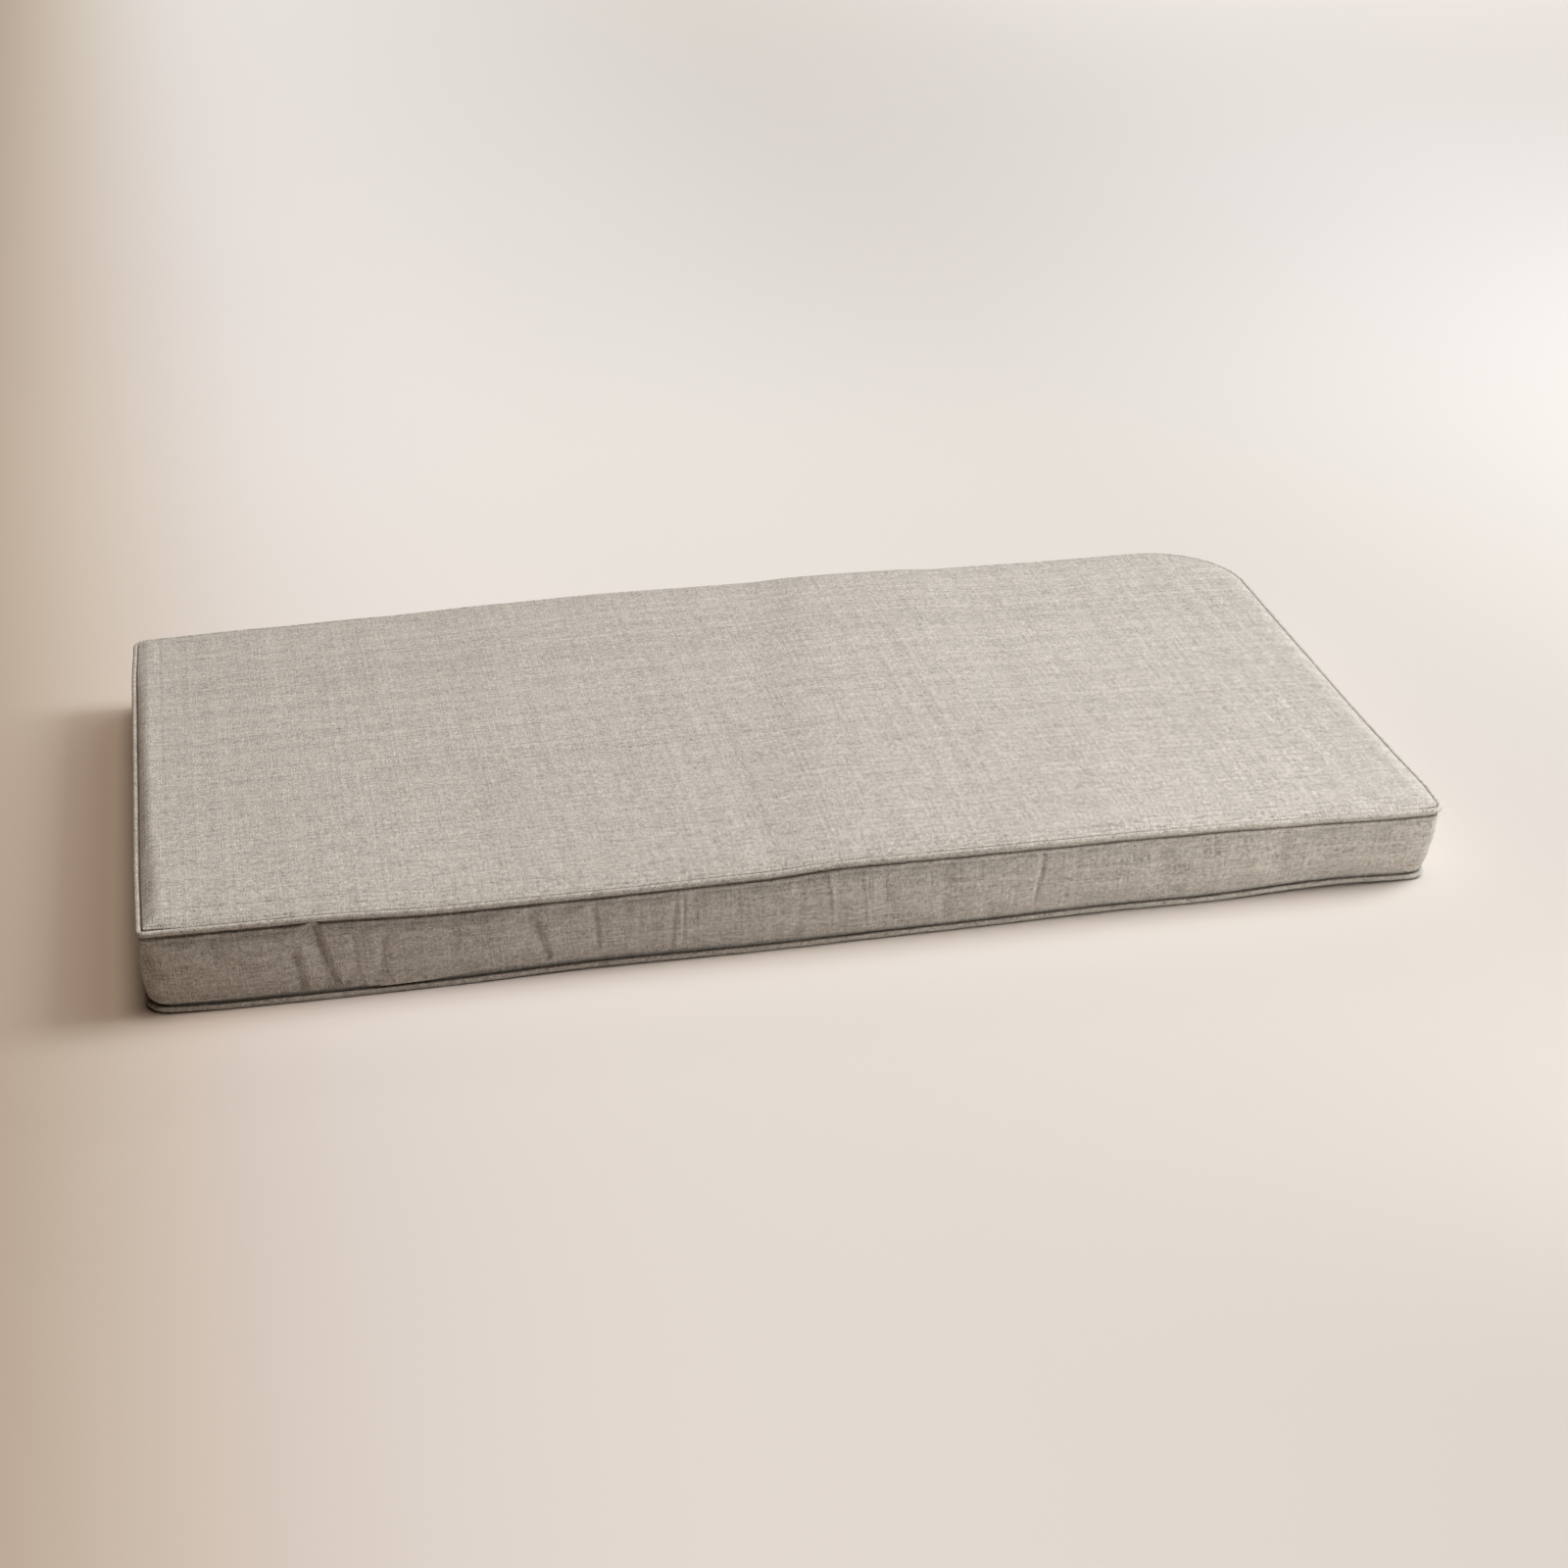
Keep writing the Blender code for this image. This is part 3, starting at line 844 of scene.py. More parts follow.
def puff_rings(rings, shares, along, total, puff):
    """Move the boxing's rings as the cloth run moved the coarse strip."""
    places, heights, move = puff
    places = np.concatenate((places, [1.0]))
    move = np.concatenate((move, move[:, :1]), axis=1)
    for ring, share in zip(rings, shares):
        row = min(int(np.searchsorted(heights, share, "right")) - 1, len(heights) - 2)
        part = (share - heights[row]) / (heights[row + 1] - heights[row])
        line = move[row] * (1.0 - part) + move[row + 1] * part
        for axis in range(3):
            ring[:, axis] += np.interp(along / total, places, line[:, axis])


def shoulders(plan, sizes, along, total):
    """Rings of the top panel where it rises from the piping."""
    level = PIPING_LIFT + BOXING_HEIGHT
    height = plan.read(SHOULDERS, "height", plan.loop(TOP_CORNERS)) * MM
    draw = np.random.default_rng(sizes.pucker_seed + 1)
    steps = np.array(SHOULDER_STEPS) * MM
    depth = sizes.pucker_depth * PANEL_GATHER_DEPTH
    small = gathers(draw, PANEL_GATHERS, total, along, steps / steps[-1], depth)
    loop = plan.loop(TOP_CORNERS)
    reach = plan.read(EDGES, "reach", loop) * MM
    bend = plan.read(EDGES, "bend", loop)
    lip = TOP_PIPING_RADIUS * math.sqrt(0.5)
    back = plan.read(EDGES, "gap", loop) * math.sqrt(0.5) * MM
    rings = []
    for row, inward in enumerate(steps):
        gone = np.clip((inward - lip) / (reach - lip), 0.0, 1.0)
        rise = 1.0 - (1.0 - gone) ** bend
        ring = plan.ring(TOP_CORNERS, TOP_SEAM, level, inward, lip)
        left = 1.0 - inward / steps[-1]
        ring[:, 2] += (height - lip) * rise + small[row] + back * left
        ring[:, :2] -= loop.outward * (back * left)[:, None]
        rings.append(ring)
    return rings


def crown_grid(plan, sizes, border):
    """Rows of points that fill the top panel inside its last ring."""
    count, long, short = plan.count, plan.long, plan.short
    front = border[: long + 1]
    right = border[long : long + short + 1]
    back = border[long + short : 2 * long + short + 1][::-1]
    left = border[(count - np.arange(short + 1)) % count]
    across = ((front[:, 0] - front[0, 0]) / (front[-1, 0] - front[0, 0]))[None, :, None]
    over = ((left[:, 1] - left[0, 1]) / (left[-1, 1] - left[0, 1]))[:, None, None]
    across = np.clip(across, 0.0, 1.0)
    over = np.clip(over, 0.0, 1.0)
    between_long = front[None] * (1 - over) + back[None] * over
    between_short = left[:, None] * (1 - across) + right[:, None] * across
    near = front[0] * (1 - across) + front[-1] * across
    far = back[0] * (1 - across) + back[-1] * across
    grid = between_long + between_short - (near * (1 - over) + far * over)
    dome = np.sin(math.pi * across) * np.sin(math.pi * over)
    rise = sizes.crown * np.maximum(0.0, dome[..., 0]) ** CROWN_ROUNDNESS
    x, y = grid[..., 0], grid[..., 1]
    edge = np.clip(dome[..., 0] * CROWN_EDGE, 0.0, 1.0)
    grid[..., 2] += rise + edge * panel_unevenness(x, y) + panel_wrinkle(x, y)
    return grid


def panel_unevenness(x, y):
    """The slight hills and dips of a filled panel.

    Each line has a height in millimetres and two waves, in radians to a metre.
    """
    value = 0.45 * np.sin(9.1 * x + 3.0 * y + 0.7) * np.cos(11.3 * y - 2.1 * x)
    value += 0.30 * np.sin(21.0 * x - 8.0 * y + 1.9) * np.cos(17.0 * y + 5.0 * x + 0.4)
    value += 0.16 * np.sin(43.0 * x + 19.0 * y) * np.sin(37.0 * y - 11.0 * x + 2.2)
    return value * MM


def panel_wrinkle(x, y):
    """A short soft crease that runs off the front seam."""
    run = np.array(WRINKLE_END) - np.array(WRINKLE_START)
    length = float(np.hypot(*run))
    run = run / length
    gone = (x - WRINKLE_START[0]) * run[0] + (y - WRINKLE_START[1]) * run[1]
    aside = (x - WRINKLE_START[0]) * run[1] - (y - WRINKLE_START[1]) * run[0]
    fade = soft_step(gone / (WRINKLE_FADE * length))
    fade = fade * soft_step((length * WRINKLE_OVERRUN - gone) / (WRINKLE_FADE * length))
    trough = -np.exp(-((aside / WRINKLE_WIDTH) ** 2))
    lip = WRINKLE_LIP * np.exp(-((aside / WRINKLE_WIDTH - WRINKLE_LIP_PLACE) ** 2))
    return WRINKLE_DEPTH * MM * fade * (trough + lip)


class Patchwork:
    """Gathers the cover's corners and faces, with a cloth place for each corner."""

    def __init__(self):
        self.points = []
        self.faces = []
        self.places = []
        self.size = 0

    def add_points(self, points):
        """Add points and return their numbers."""
        numbers = np.arange(self.size, self.size + len(points))
        self.points.append(points)
        self.size += len(points)
        return numbers

    def add_band(self, low, high, low_place, high_place):
        """Join two rows of points by a strip of four-sided faces."""
        quads = np.stack((low[:-1], low[1:], high[1:], high[:-1]), axis=1)
        corners = (low_place[:-1], low_place[1:], high_place[1:], high_place[:-1])
        self.faces.extend(quads.tolist())
        self.places.append(np.stack(corners, axis=1).reshape(-1, 2))

    def add_face(self, numbers, places):
        """Add one face with many corners."""
        self.faces.append(list(numbers))
        self.places.append(places)

    def mesh(self, name):
        """Make the mesh, with its cloth places as a UV map."""
        mesh = bpy.data.meshes.new(name)
        points = np.concatenate(self.points)
        points[:, :2] += CENTRING
        mesh.from_pydata(points.tolist(), [], self.faces)
        layer = mesh.uv_layers.new(name="cloth")
        layer.data.foreach_set("uv", np.concatenate(self.places).ravel())
        mesh.shade_smooth()
        mesh.validate()
        return mesh


def closed(row):
    """Repeat the first entry of a row at its end."""
    return np.concatenate((row, row[:1]))


def cover_mesh(sizes):
    """The cover, filled out, as one closed mesh."""
    plan = Plan(sizes.long_steps, sizes.short_steps)
    top = PIPING_LIFT + BOXING_HEIGHT
    along, total = lengths_along(plan.seam(TOP_CORNERS, TOP_SEAM, top))
    rest = plan.ring(BOTTOM_CORNERS, BOTTOM_SEAM, PIPING_LIFT, REST_INSET, 0.0)
    rest[:, 2] = 0.0
    bottom = bottom_hollow(plan)
    upper = top_hollow(plan)
    shares = boxing_shares()
    strip = boxing(plan, sizes, bottom[-1], upper[0], along, total, shares)
    puff_rings(strip, shares, along, total, puffed(sizes))
    rise = shoulders(plan, sizes, along, total)
    rings = [rest] + bottom + strip + upper + rise
    low_seam = 1 + SEAM_RING
    high_seam = 1 + len(bottom) + len(strip) + len(upper) - 1 - SEAM_RING
    work = Patchwork()
    numbers = [work.add_points(ring) for ring in rings]
    height = np.cumsum([0.0] + ring_gaps(rings))
    low_along, low_total = lengths_along(plan.seam(BOTTOM_CORNERS, BOTTOM_SEAM, 0.0))
    lengths = np.append(along, total), np.append(low_along * (total / low_total), total)
    share_up = (height - height[low_seam]) / (height[high_seam] - height[low_seam])
    for row in range(len(rings) - 1):
        if low_seam <= row < high_seam:
            low_place, high_place = (
                strip_place(lengths, share_up[at], height[at]) for at in (row, row + 1)
            )
        else:
            low_place = closed(rings[row][:, :2])
            high_place = closed(rings[row + 1][:, :2])
        work.add_band(closed(numbers[row]), closed(numbers[row + 1]), low_place, high_place)
    work.add_face(numbers[0][::-1], rest[::-1, :2])
    fill_top(work, plan, numbers[-1], crown_grid(plan, sizes, rings[-1]))
    return work.mesh("cushion_cover")


def strip_place(lengths, share, height):
    """Cloth places of one ring of the boxing, from the lengths of both seams."""
    length = lengths[0] * share + lengths[1] * (1.0 - share)
    return np.column_stack((length, np.full(len(length), height)))


def ring_gaps(rings):
    """Middle distance from each ring to the next."""
    gaps = []
    for low, high in zip(rings, rings[1:]):
        gaps.append(float(np.median(np.linalg.norm(high - low, axis=1))))
    return gaps


def fill_top(work, plan, border, grid):
    """Join the top panel's last ring to the grid inside it."""
    count, long, short = plan.count, plan.long, plan.short
    numbers = np.zeros(grid.shape[:2], dtype=int)
    numbers[0] = border[: long + 1]
    numbers[-1] = border[long + short : 2 * long + short + 1][::-1]
    numbers[:, 0] = border[(count - np.arange(short + 1)) % count]
    numbers[:, -1] = border[long : long + short + 1]
    inner = work.add_points(grid[1:-1, 1:-1].reshape(-1, 3))
    numbers[1:-1, 1:-1] = inner.reshape(short - 1, long - 1)
    for row in range(short):
        work.add_band(numbers[row], numbers[row + 1], grid[row, :, :2], grid[row + 1, :, :2])


def piping_tree(name):
    """Nodes that lay a wrinkled round strip along a closed path."""
    tree = bpy.data.node_groups.new(name, "GeometryNodeTree")
    face = tree.interface
    face.new_socket("Path", in_out="INPUT", socket_type="NodeSocketGeometry")
    face.new_socket("Piping", in_out="OUTPUT", socket_type="NodeSocketGeometry")
    kinds = {
        "Radius": "NodeSocketFloat",
        "Spacing": "NodeSocketFloat",
        "Sides": "NodeSocketInt",
        "Wrinkle": "NodeSocketFloat",
        "Cloth": "NodeSocketMaterial",
    }
    for label, kind in kinds.items():
        face.new_socket(label, in_out="INPUT", socket_type=kind)

    def add(kind, values=None, **settings):
        node = tree.nodes.new(kind)
        for key, value in settings.items():
            setattr(node, key, value)
        for key, value in (values or {}).items():
            if isinstance(value, bpy.types.NodeSocket):
                tree.links.new(value, node.inputs[key])
            else:
                node.inputs[key].default_value = value
        return node

    def maths(operation, first, second):
        return add("ShaderNodeMath", {0: first, 1: second}, operation=operation).outputs[0]

    def measured(curve, name):
        length = add("GeometryNodeSplineParameter").outputs["Length"]
        values = {"Geometry": curve, "Name": name, "Value": length}
        settings = {"data_type": "FLOAT", "domain": "POINT"}
        return add("GeometryNodeStoreNamedAttribute", values, **settings).outputs[0]

    given = add("NodeGroupInput").outputs
    curve = add("GeometryNodeMeshToCurve", {"Mesh": given["Path"]}).outputs[0]
    even = add(
        "GeometryNodeResampleCurve",
        {"Curve": curve, "Length": given["Spacing"]},
        mode="LENGTH",
    ).outputs[0]
    circle = add(
        "GeometryNodeCurvePrimitiveCircle",
        {"Resolution": given["Sides"], "Radius": given["Radius"]},
    ).outputs["Curve"]
    path = measured(even, "along")
    rim = measured(circle, "around")
    tube = add("GeometryNodeCurveToMesh", {"Curve": path, "Profile Curve": rim}).outputs[0]
    waves = {"Scale": PIPING_WAVES, "Detail": 2.0, "Roughness": 0.5}
    noise = add("ShaderNodeTexNoise", waves).outputs[0]
    centred = maths("SUBTRACT", noise, 0.5)
    doubled = maths("MULTIPLY", maths("MULTIPLY", centred, given["Wrinkle"]), 2.0)
    normal = add("GeometryNodeInputNormal").outputs[0]
    push = add("ShaderNodeVectorMath", {0: normal, "Scale": doubled}, operation="SCALE").outputs[0]
    moved = add("GeometryNodeSetPosition", {"Geometry": tube, "Offset": push}).outputs[0]
    smooth = add("GeometryNodeSetShadeSmooth", {"Geometry": moved}).outputs[0]
    real = add("GeometryNodeRealizeInstances", {"Geometry": smooth}).outputs[0]
    dressing = {"Geometry": real, "Material": given["Cloth"]}
    dressed = add("GeometryNodeSetMaterial", dressing).outputs[0]
    add("NodeGroupOutput", {"Piping": dressed})
    return tree


def piping_mesh(sizes, path, radius, name, cloth):
    """One piping as a plain mesh, with its cloth places as a UV map."""
    source = bpy.data.meshes.new(name + "_path")
    numbers = np.arange(len(path))
    edges = np.column_stack((numbers, np.roll(numbers, -1)))
    source.from_pydata(path.tolist(), edges.tolist(), [])
    carrier = bpy.data.objects.new(name + "_path", source)
    bpy.context.scene.collection.objects.link(carrier)
    modifier = carrier.modifiers.new("Piping", "NODES")
    tree = piping_tree(name + "_nodes")
    modifier.node_group = tree
    wanted = {
        "Radius": radius,
        "Spacing": sizes.piping_spacing,
        "Sides": sizes.piping_sides,
        "Wrinkle": sizes.piping_wrinkle,
        "Cloth": cloth,
    }
    for item in tree.interface.items_tree:
        if item.in_out == "INPUT" and item.name in wanted:
            modifier[item.identifier] = wanted[item.name]
    graph = bpy.context.evaluated_depsgraph_get()
    mesh = bpy.data.meshes.new_from_object(carrier.evaluated_get(graph))
    bpy.data.objects.remove(carrier, do_unlink=True)
    mesh.name = name
    lay_cloth_on_piping(mesh)
    turn_outward(mesh)
    return mesh


def lay_cloth_on_piping(mesh):
    """Turn the stored lengths along and around a piping into a UV map."""
    corner_count = len(mesh.loops)
    vertex = np.zeros(corner_count, dtype=np.int32)
    mesh.loops.foreach_get("vertex_index", vertex)
    places = []
    for name in ("along", "around"):
        values = np.zeros(len(mesh.vertices), dtype=np.float32)
        mesh.attributes[name].data.foreach_get("value", values)
        step = np.diff(np.unique(np.round(values, 6)))
        full = float(values.max()) + float(np.median(step))
        corner = values[vertex].reshape(-1, 4)
        wraps = corner.max(axis=1) - corner.min(axis=1) > full / 2
        low = corner < full / 2
        corner[wraps[:, None] & low] += full
        places.append(corner.ravel())
        mesh.attributes.remove(mesh.attributes[name])
    layer = mesh.uv_layers.new(name="cloth")
    layer.data.foreach_set("uv", np.column_stack(places).ravel())


def turn_outward(mesh):
    """Make a closed mesh's faces point outward."""
    bm = bmesh.new()
    bm.from_mesh(mesh)
    bmesh.ops.recalc_face_normals(bm, faces=bm.faces)
    bm.to_mesh(mesh)
    bm.free()
    mesh.shade_smooth()


class Signal:
    """A shader value that adds its own Math nodes when it is worked with."""

    def __init__(self, board, socket):
        self.board = board
        self.socket = socket

    def math(self, operation, *others, flipped=False):
        """One Math node on this value and others."""
        values = [self, *others]
        if flipped:
            values.reverse()
        inputs = {number: value for number, value in enumerate(values)}
        return self.board.value("ShaderNodeMath", {"operation": operation}, inputs)

    def __add__(self, other):
        return self.math("ADD", other)

    __radd__ = __add__

    def __mul__(self, other):
        return self.math("MULTIPLY", other)

    __rmul__ = __mul__

    def __sub__(self, other):
        return self.math("SUBTRACT", other)

    def __rsub__(self, other):
        return self.math("SUBTRACT", other, flipped=True)

    def __truediv__(self, other):
        return self.math("DIVIDE", other)

    def __rtruediv__(self, other):
        return self.math("DIVIDE", other, flipped=True)

    def floor(self):
        """Whole part."""
        return self.math("FLOOR")

    def fraction(self):
        """Part after the point."""
        return self.math("FRACT")

    def sine(self):
        """Sine of the value in radians."""
        return self.math("SINE")

    def above(self, edge):
        """1 where the value is over an edge, else 0."""
        return self.math("GREATER_THAN", edge)

    def between(self, low, high):
        """The value spread so that low becomes 0 and high 1, held inside."""
        settings = {"clamp": True}
        inputs = {"Value": self, "From Min": low, "From Max": high}
        return self.board.value("ShaderNodeMapRange", settings, inputs)


class Board:
    """One material's nodes."""

    def __init__(self, name):
        self.material = bpy.data.materials.new(name)
        self.material.use_nodes = True
        self.tree = self.material.node_tree
        self.shader = self.tree.nodes["Principled BSDF"]

    def node(self, kind, settings=None, inputs=None):
        """Add a node: its settings first, then its values and links."""
        node = self.tree.nodes.new(kind)
        for key, value in (settings or {}).items():
            setattr(node, key, value)
        for key, value in (inputs or {}).items():
            self.set_input(node.inputs[key], value)
        return node

    def set_input(self, socket, value):
        """Link a socket or set its value."""
        if isinstance(value, Signal):
            value = value.socket
        if isinstance(value, bpy.types.NodeSocket):
            self.tree.links.new(value, socket)
        else:
            socket.default_value = value

    def value(self, kind, settings=None, inputs=None):
        """Add a node and return its first output as a value."""
        return Signal(self, self.node(kind, settings, inputs).outputs[0])

    def vector(self, x, y, z=0.0):
        """Three values as one vector."""
        return self.node("ShaderNodeCombineXYZ", None, {0: x, 1: y, 2: z}).outputs[0]

    def noise(self, place, detail=1.0, roughness=0.5):
        """Smooth noise from 0 to 1 at a place already scaled."""
        inputs = {"Vector": place, "Scale": 1.0, "Detail": detail, "Roughness": roughness}
        return self.value("ShaderNodeTexNoise", {"noise_dimensions": "3D"}, inputs)

    def thread(self, along, number, slub, seed):
        """Shade of one thread: its own tone with long and short thicker stretches."""
        long = self.noise(self.vector(along / slub, number * 5.37, seed), detail=2.0)
        short = self.noise(self.vector(along * SLUB_SHORTENING / slub, number * 6.19, seed + 3.0))
        own = self.chance(number, seed + 11.0)
        shade = long.between(*SLUB_RANGE) * LONG_SLUB + short.between(*SLUB_RANGE) * SHORT_SLUB
        return shade + own * OWN_TONE

    def chance(self, x, y):
        """A fixed random value from 0 to 1 for each whole x and y."""
        settings = {"noise_dimensions": "2D"}
        return self.value("ShaderNodeTexWhiteNoise", settings, {"Vector": self.vector(x, y)})

    def ramp(self, value, tones):
        """A colour that changes smoothly along a value, from a table of tones."""
        low, high = tones[0].place, tones[-1].place
        node = self.node("ShaderNodeValToRGB", None, {0: value.between(low, high)})
        stops = node.color_ramp.elements
        while len(stops) < len(tones):
            stops.new(0.5)
        node.color_ramp.interpolation = "CARDINAL"
        for stop, tone in zip(stops, tones):
            stop.position = (tone.place - low) / (high - low)
            stop.color = (*tone.colour, 1.0)
        return node.outputs[0]

    def mix(self, factor, low, high):
        """Blend two colours."""
        settings = {"data_type": "RGBA", "blend_type": "MIX", "clamp_factor": True}
        inputs = {0: factor, 6: low, 7: high}
        return self.node("ShaderNodeMix", settings, inputs).outputs[2]


def colour(values):
    """A colour property as four numbers."""
    return (*values, 1.0)


def linen(name, tones, turn=0.0):
    """Heathered plain weave, whose threads run along the cloth's own place."""
    board = Board(name)
    place = board.node("ShaderNodeUVMap", {"uv_map": "cloth"}).outputs[0]
    if turn:
        spin = {"Vector": place, "Rotation": (0.0, 0.0, turn)}
        place = board.node("ShaderNodeMapping", None, spin).outputs[0]
    parts = board.node("ShaderNodeSeparateXYZ", None, {0: place}).outputs
    u = Signal(board, parts[0])
    v = Signal(board, parts[1])
    pitch = tones.thread_pitch
    slub = tones.slub_length
    row = (v / pitch).floor()
    column = (u / pitch).floor()
    over = ((row + column) * 0.5).fraction().above(0.25)
    weft = board.thread(u, row, slub, 0.0) * WEFT[0] + WEFT[1]
    warp = board.thread(v, column, slub, 7.0) * WARP[0] + WARP[1]
    thread = weft * over + warp * (1.0 - over)
    fleck = board.chance(row, column) - 0.5
    patch = board.vector(u * CLOUD_WAVES[0], v * CLOUD_WAVES[1], 2.0)
    cloud = board.noise(patch, detail=4.0, roughness=0.6) - 0.5
    streak = board.noise(board.vector(u / (slub * 1.5), row * 4.71, 9.0), detail=2.0)
    dark_streak = streak.between(*STREAK_RANGE) * tones.streak
    heather = thread + fleck * tones.fleck + cloud * tones.cloud - dark_streak
    ground = board.mix(heather.between(0.0, 0.5), colour(tones.dark), colour(tones.ground))
    tinted = board.mix(heather.between(0.5, 1.0), ground, colour(tones.pale))
    board.set_input(board.shader.inputs["Base Color"], tinted)
    round_row = (v * (math.pi / pitch)).sine()
    round_column = (u * (math.pi / pitch)).sine()
    swell = round_row * round_row * over + round_column * round_column * (1.0 - over)
    relief = swell * 0.6 + thread * 0.5 + fleck * 0.5
    bump = {"Height": relief, "Strength": RELIEF_STRENGTH, "Distance": RELIEF_HEIGHT}
    normal = board.node("ShaderNodeBump", None, bump).outputs[0]
    board.set_input(board.shader.inputs["Normal"], normal)
    board.set_input(board.shader.inputs["Roughness"], heather * 0.1 + 0.86)
    board.shader.inputs["Specular IOR Level"].default_value = 0.25
    board.shader.inputs["Sheen Weight"].default_value = 0.12
    board.shader.inputs["Sheen Roughness"].default_value = 0.5
    return board.material


def link(mesh, cloth=None):
    """Put a finished mesh in the scene as its own object."""
    if cloth is not None:
        mesh.materials.clear()
        mesh.materials.append(cloth)
    piece = bpy.data.objects.new(mesh.name, mesh)
    bpy.context.scene.collection.objects.link(piece)
    return piece


class CUSHION_OT_cover(bpy.types.Operator):
    """Make the filled cover with its folds, in place of the plain cushion"""

    bl_idname = "cushion.cover"
    bl_label = "Cover"

    def execute(self, context):
        sizes = context.scene.cushion_sizes
        cloth = linen("cover_linen", context.scene.cushion_cloth)
        piece = link(cover_mesh(sizes), cloth)
        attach(piece, "root")
        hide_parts("cushion")
        return {"FINISHED"}


class CUSHION_OT_pipings(bpy.types.Operator):
    """Make the two pipings that lie in the seams"""

    bl_idname = "cushion.pipings"
    bl_label = "Pipings"

    def execute(self, context):
        sizes = context.scene.cushion_sizes
        cloth = linen("piping_linen", context.scene.cushion_cloth, turn=math.radians(45))
        top = PIPING_LIFT + BOXING_HEIGHT
        low = PIPING_LIFT - BOTTOM_PIPING_DROP
        runs = (
            ("top_piping", TOP_CORNERS, TOP_SEAM, top, TOP_PIPING_RADIUS),
            ("bottom_piping", BOTTOM_CORNERS, BOTTOM_SEAM, low, BOTTOM_PIPING_RADIUS),
        )
        for node, corners, seam, level, radius in runs:
            path = Plan(sizes.long_steps, sizes.short_steps).seam(corners, seam, level)
            path[:, :2] += CENTRING
            piece = link(piping_mesh(sizes, path, radius, node + "_strip", cloth))
            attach(piece, "root")
            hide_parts(node)
            node + "_cloth"
        return {"FINISHED"}


class CUSHION_OT_stage(bpy.types.Operator):
    """Make the floor, the lights and the camera"""

    bl_idname = "cushion.stage"
    bl_label = "Studio"

    def execute(self, context):
        studio = context.scene.cushion_studio
        add_floor()
        add_lights(studio)
        add_camera(context.scene, studio)
        context.scene.view_settings.view_transform = "Standard"
        return {"FINISHED"}


FLOOR_REACH = 60.0
FLOOR_SHADE_SKEW = 0.02
CAMERA_SENSOR = 36.0
CAMERA_FAR = 250.0

# Lights: a soft rectangle or a soft distant one, its place or direction and what
# it points at, the width and height in metres or the angle in degrees, its
# strength and tint, and the angle over which a rectangle spreads, in degrees
Lamp = namedtuple("Lamp", "name kind place aim size strength tint spread")

CENTRE = (0.0, 0.0, 0.0)
WASHED = (3.0, 5.0, 0.0)
LAMPS = (
    Lamp("top", "SUN", (0.12, 0.0, 1.0), CENTRE, 25.0, 1.14, (1.18, 1.00, 0.84), 180.0),
    Lamp("side", "SUN", (0.9, 0.22, 1.0), CENTRE, 40.0, 1.10, (0.95, 1.00, 1.00), 180.0),
    Lamp("key", "AREA", (2.4, 0.1, 2.3), CENTRE, (1.3, 1.5), 70.0, (0.87, 1.00, 1.11), 180.0),
    Lamp("low_fill", "AREA", (1.3, -1.3, 0.25), CENTRE, (0.3, 0.2), 0.82, (0.97, 1.0, 0.98), 50.0),
    Lamp("wash", "AREA", (3.0, 5.0, 2.6), WASHED, (3.4, 1.5), 55.0, (1.0, 1.0, 1.0), 180.0),
)

# Floor: painted light and shade, as its colour by depth and a painted shade laid over it from left
# to right
Tone = namedtuple("Tone", "place colour")

FLOOR_PAINTED_DEPTH_SHADING = rows(
    Tone,
    (-1.2, (0.840, 0.778, 0.728)), (-0.3, (0.780, 0.721, 0.674)),
    (0.8, (0.860, 0.815, 0.775)), (2.0, (0.905, 0.880, 0.870)),
    (4.0, (0.960, 0.965, 0.965)),
)
FLOOR_PAINTED_SIDE_SHADE = rows(
    Tone,
    (-0.95, (0.480, 0.392, 0.330)), (-0.70, (0.745, 0.665, 0.580)),
    (-0.45, (0.960, 0.935, 0.935)), (0.00, (0.925, 0.915, 0.910)),
    (0.65, (0.790, 0.770, 0.755)), (1.70, (0.840, 0.820, 0.810)),
)


def add_floor():
    """A wide pale floor with painted shade: it turns tan toward the left, and its tone by depth is
    painted light and shade.
    """
    mesh = bpy.data.meshes.new("floor")
    reach = FLOOR_REACH
    corners = [(-reach, -reach, 0), (reach, -reach, 0), (reach, reach, 0), (-reach, reach, 0)]
    mesh.from_pydata(corners, [], [(0, 1, 2, 3)])
    board = Board("floor_paper_painted_shade")
    place = board.node("ShaderNodeTexCoord").outputs["Object"]
    parts = board.node("ShaderNodeSeparateXYZ", None, {0: place}).outputs
    x = Signal(board, parts[0])
    y = Signal(board, parts[1])
    # painted light and shade by depth: darkest just in front of the cushion, paler far back
    pale = board.ramp(y, FLOOR_PAINTED_DEPTH_SHADING)
    # painted shade from left to right: deep tan toward the left, dimmer again toward the right
    tint = board.ramp(x + y * FLOOR_SHADE_SKEW, FLOOR_PAINTED_SIDE_SHADE)
    settings = {"data_type": "RGBA", "blend_type": "MULTIPLY"}
    floor = board.node("ShaderNodeMix", settings, {0: 1.0, 6: pale, 7: tint}).outputs[2]
    board.set_input(board.shader.inputs["Base Color"], floor)
    board.shader.inputs["Roughness"].default_value = 0.9
    board.shader.inputs["Specular IOR Level"].default_value = 0.1
    link(mesh, board.material)


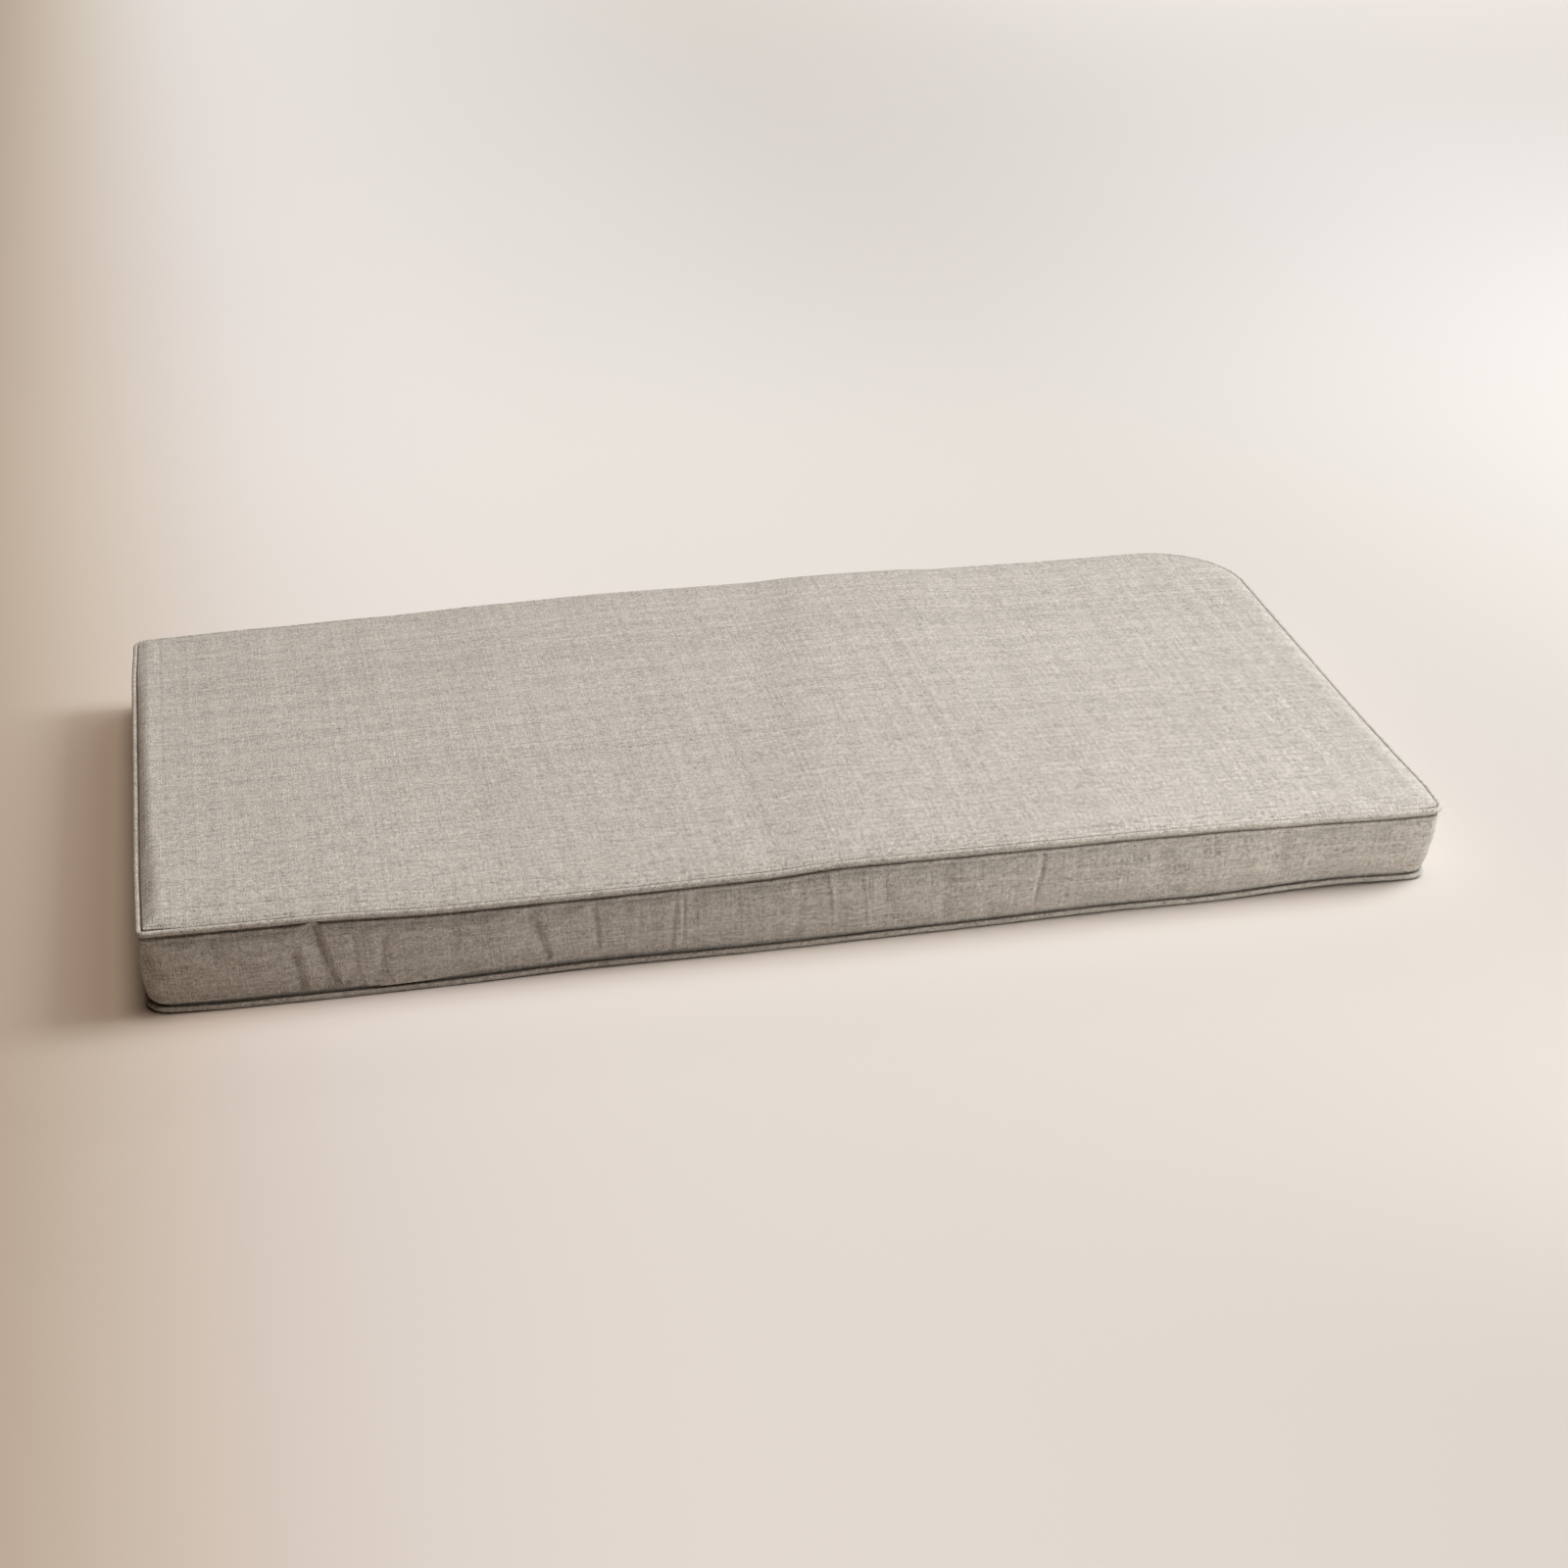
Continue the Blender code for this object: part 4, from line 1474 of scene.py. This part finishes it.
def add_lights(studio):
    """A soft key at the right, even light from above, and a wash on the far floor."""
    for row in LAMPS:
        lamp = bpy.data.lights.new(row.name, row.kind)
        lamp.color = row.tint
        lamp.energy = row.strength * studio.brightness
        holder = bpy.data.objects.new(row.name, lamp)
        bpy.context.scene.collection.objects.link(holder)
        if row.kind == "AREA":
            lamp.shape = "RECTANGLE"
            lamp.size, lamp.size_y = row.size
            lamp.spread = math.radians(row.spread)
            holder.location = row.place
        else:
            lamp.angle = math.radians(row.size)
        toward = Vector(row.place) - Vector(row.aim)
        holder.rotation_euler = toward.to_track_quat("Z", "Y").to_euler()


def add_camera(scene, studio):
    """The camera at the photographed angle."""
    lens = bpy.data.cameras.new("camera")
    lens.sensor_width = CAMERA_SENSOR
    lens.lens = studio.lens
    lens.clip_end = CAMERA_FAR
    holder = bpy.data.objects.new("camera", lens)
    scene.collection.objects.link(holder)
    holder.location = studio.camera_place
    holder.rotation_euler = Euler(studio.camera_turn)
    scene.camera = holder


OPERATORS = (CUSHION_OT_cover, CUSHION_OT_pipings, CUSHION_OT_stage)


class CUSHION_PT_panel(bpy.types.Panel):
    """Lists the steps that dress the cushion."""

    bl_label = "Piped bench cushion"
    bl_idname = "CUSHION_PT_panel"
    bl_space_type = "VIEW_3D"
    bl_region_type = "UI"
    bl_category = "Cushion"

    def draw(self, context):
        for step in OPERATORS:
            self.layout.operator(step.bl_idname)
        for group in ("cushion_sizes", "cushion_cloth", "cushion_studio"):
            settings = getattr(context.scene, group)
            box = self.layout.box()
            for name in settings.bl_rna.properties.keys():
                if name not in ("rna_type", "name"):
                    box.prop(settings, name)


GROUPS = {
    "cushion_sizes": CushionSizes,
    "cushion_cloth": ClothColours,
    "cushion_studio": StudioSettings,
}


def register():
    """Add the classes and their settings to Blender."""
    for kind in (*GROUPS.values(), *OPERATORS, CUSHION_PT_panel):
        bpy.utils.register_class(kind)
    for name, kind in GROUPS.items():
        setattr(bpy.types.Scene, name, PointerProperty(type=kind))


def unregister():
    """Take the classes and their settings away again."""
    for name in GROUPS:
        delattr(bpy.types.Scene, name)
    for kind in (CUSHION_PT_panel, *reversed(OPERATORS), *reversed(GROUPS.values())):
        bpy.utils.unregister_class(kind)


def main():
    """Dress the cushion."""
    register()
    bpy.ops.cushion.cover()
    bpy.ops.cushion.pipings()
    bpy.ops.cushion.stage()


if __name__ == "__main__":
    main()
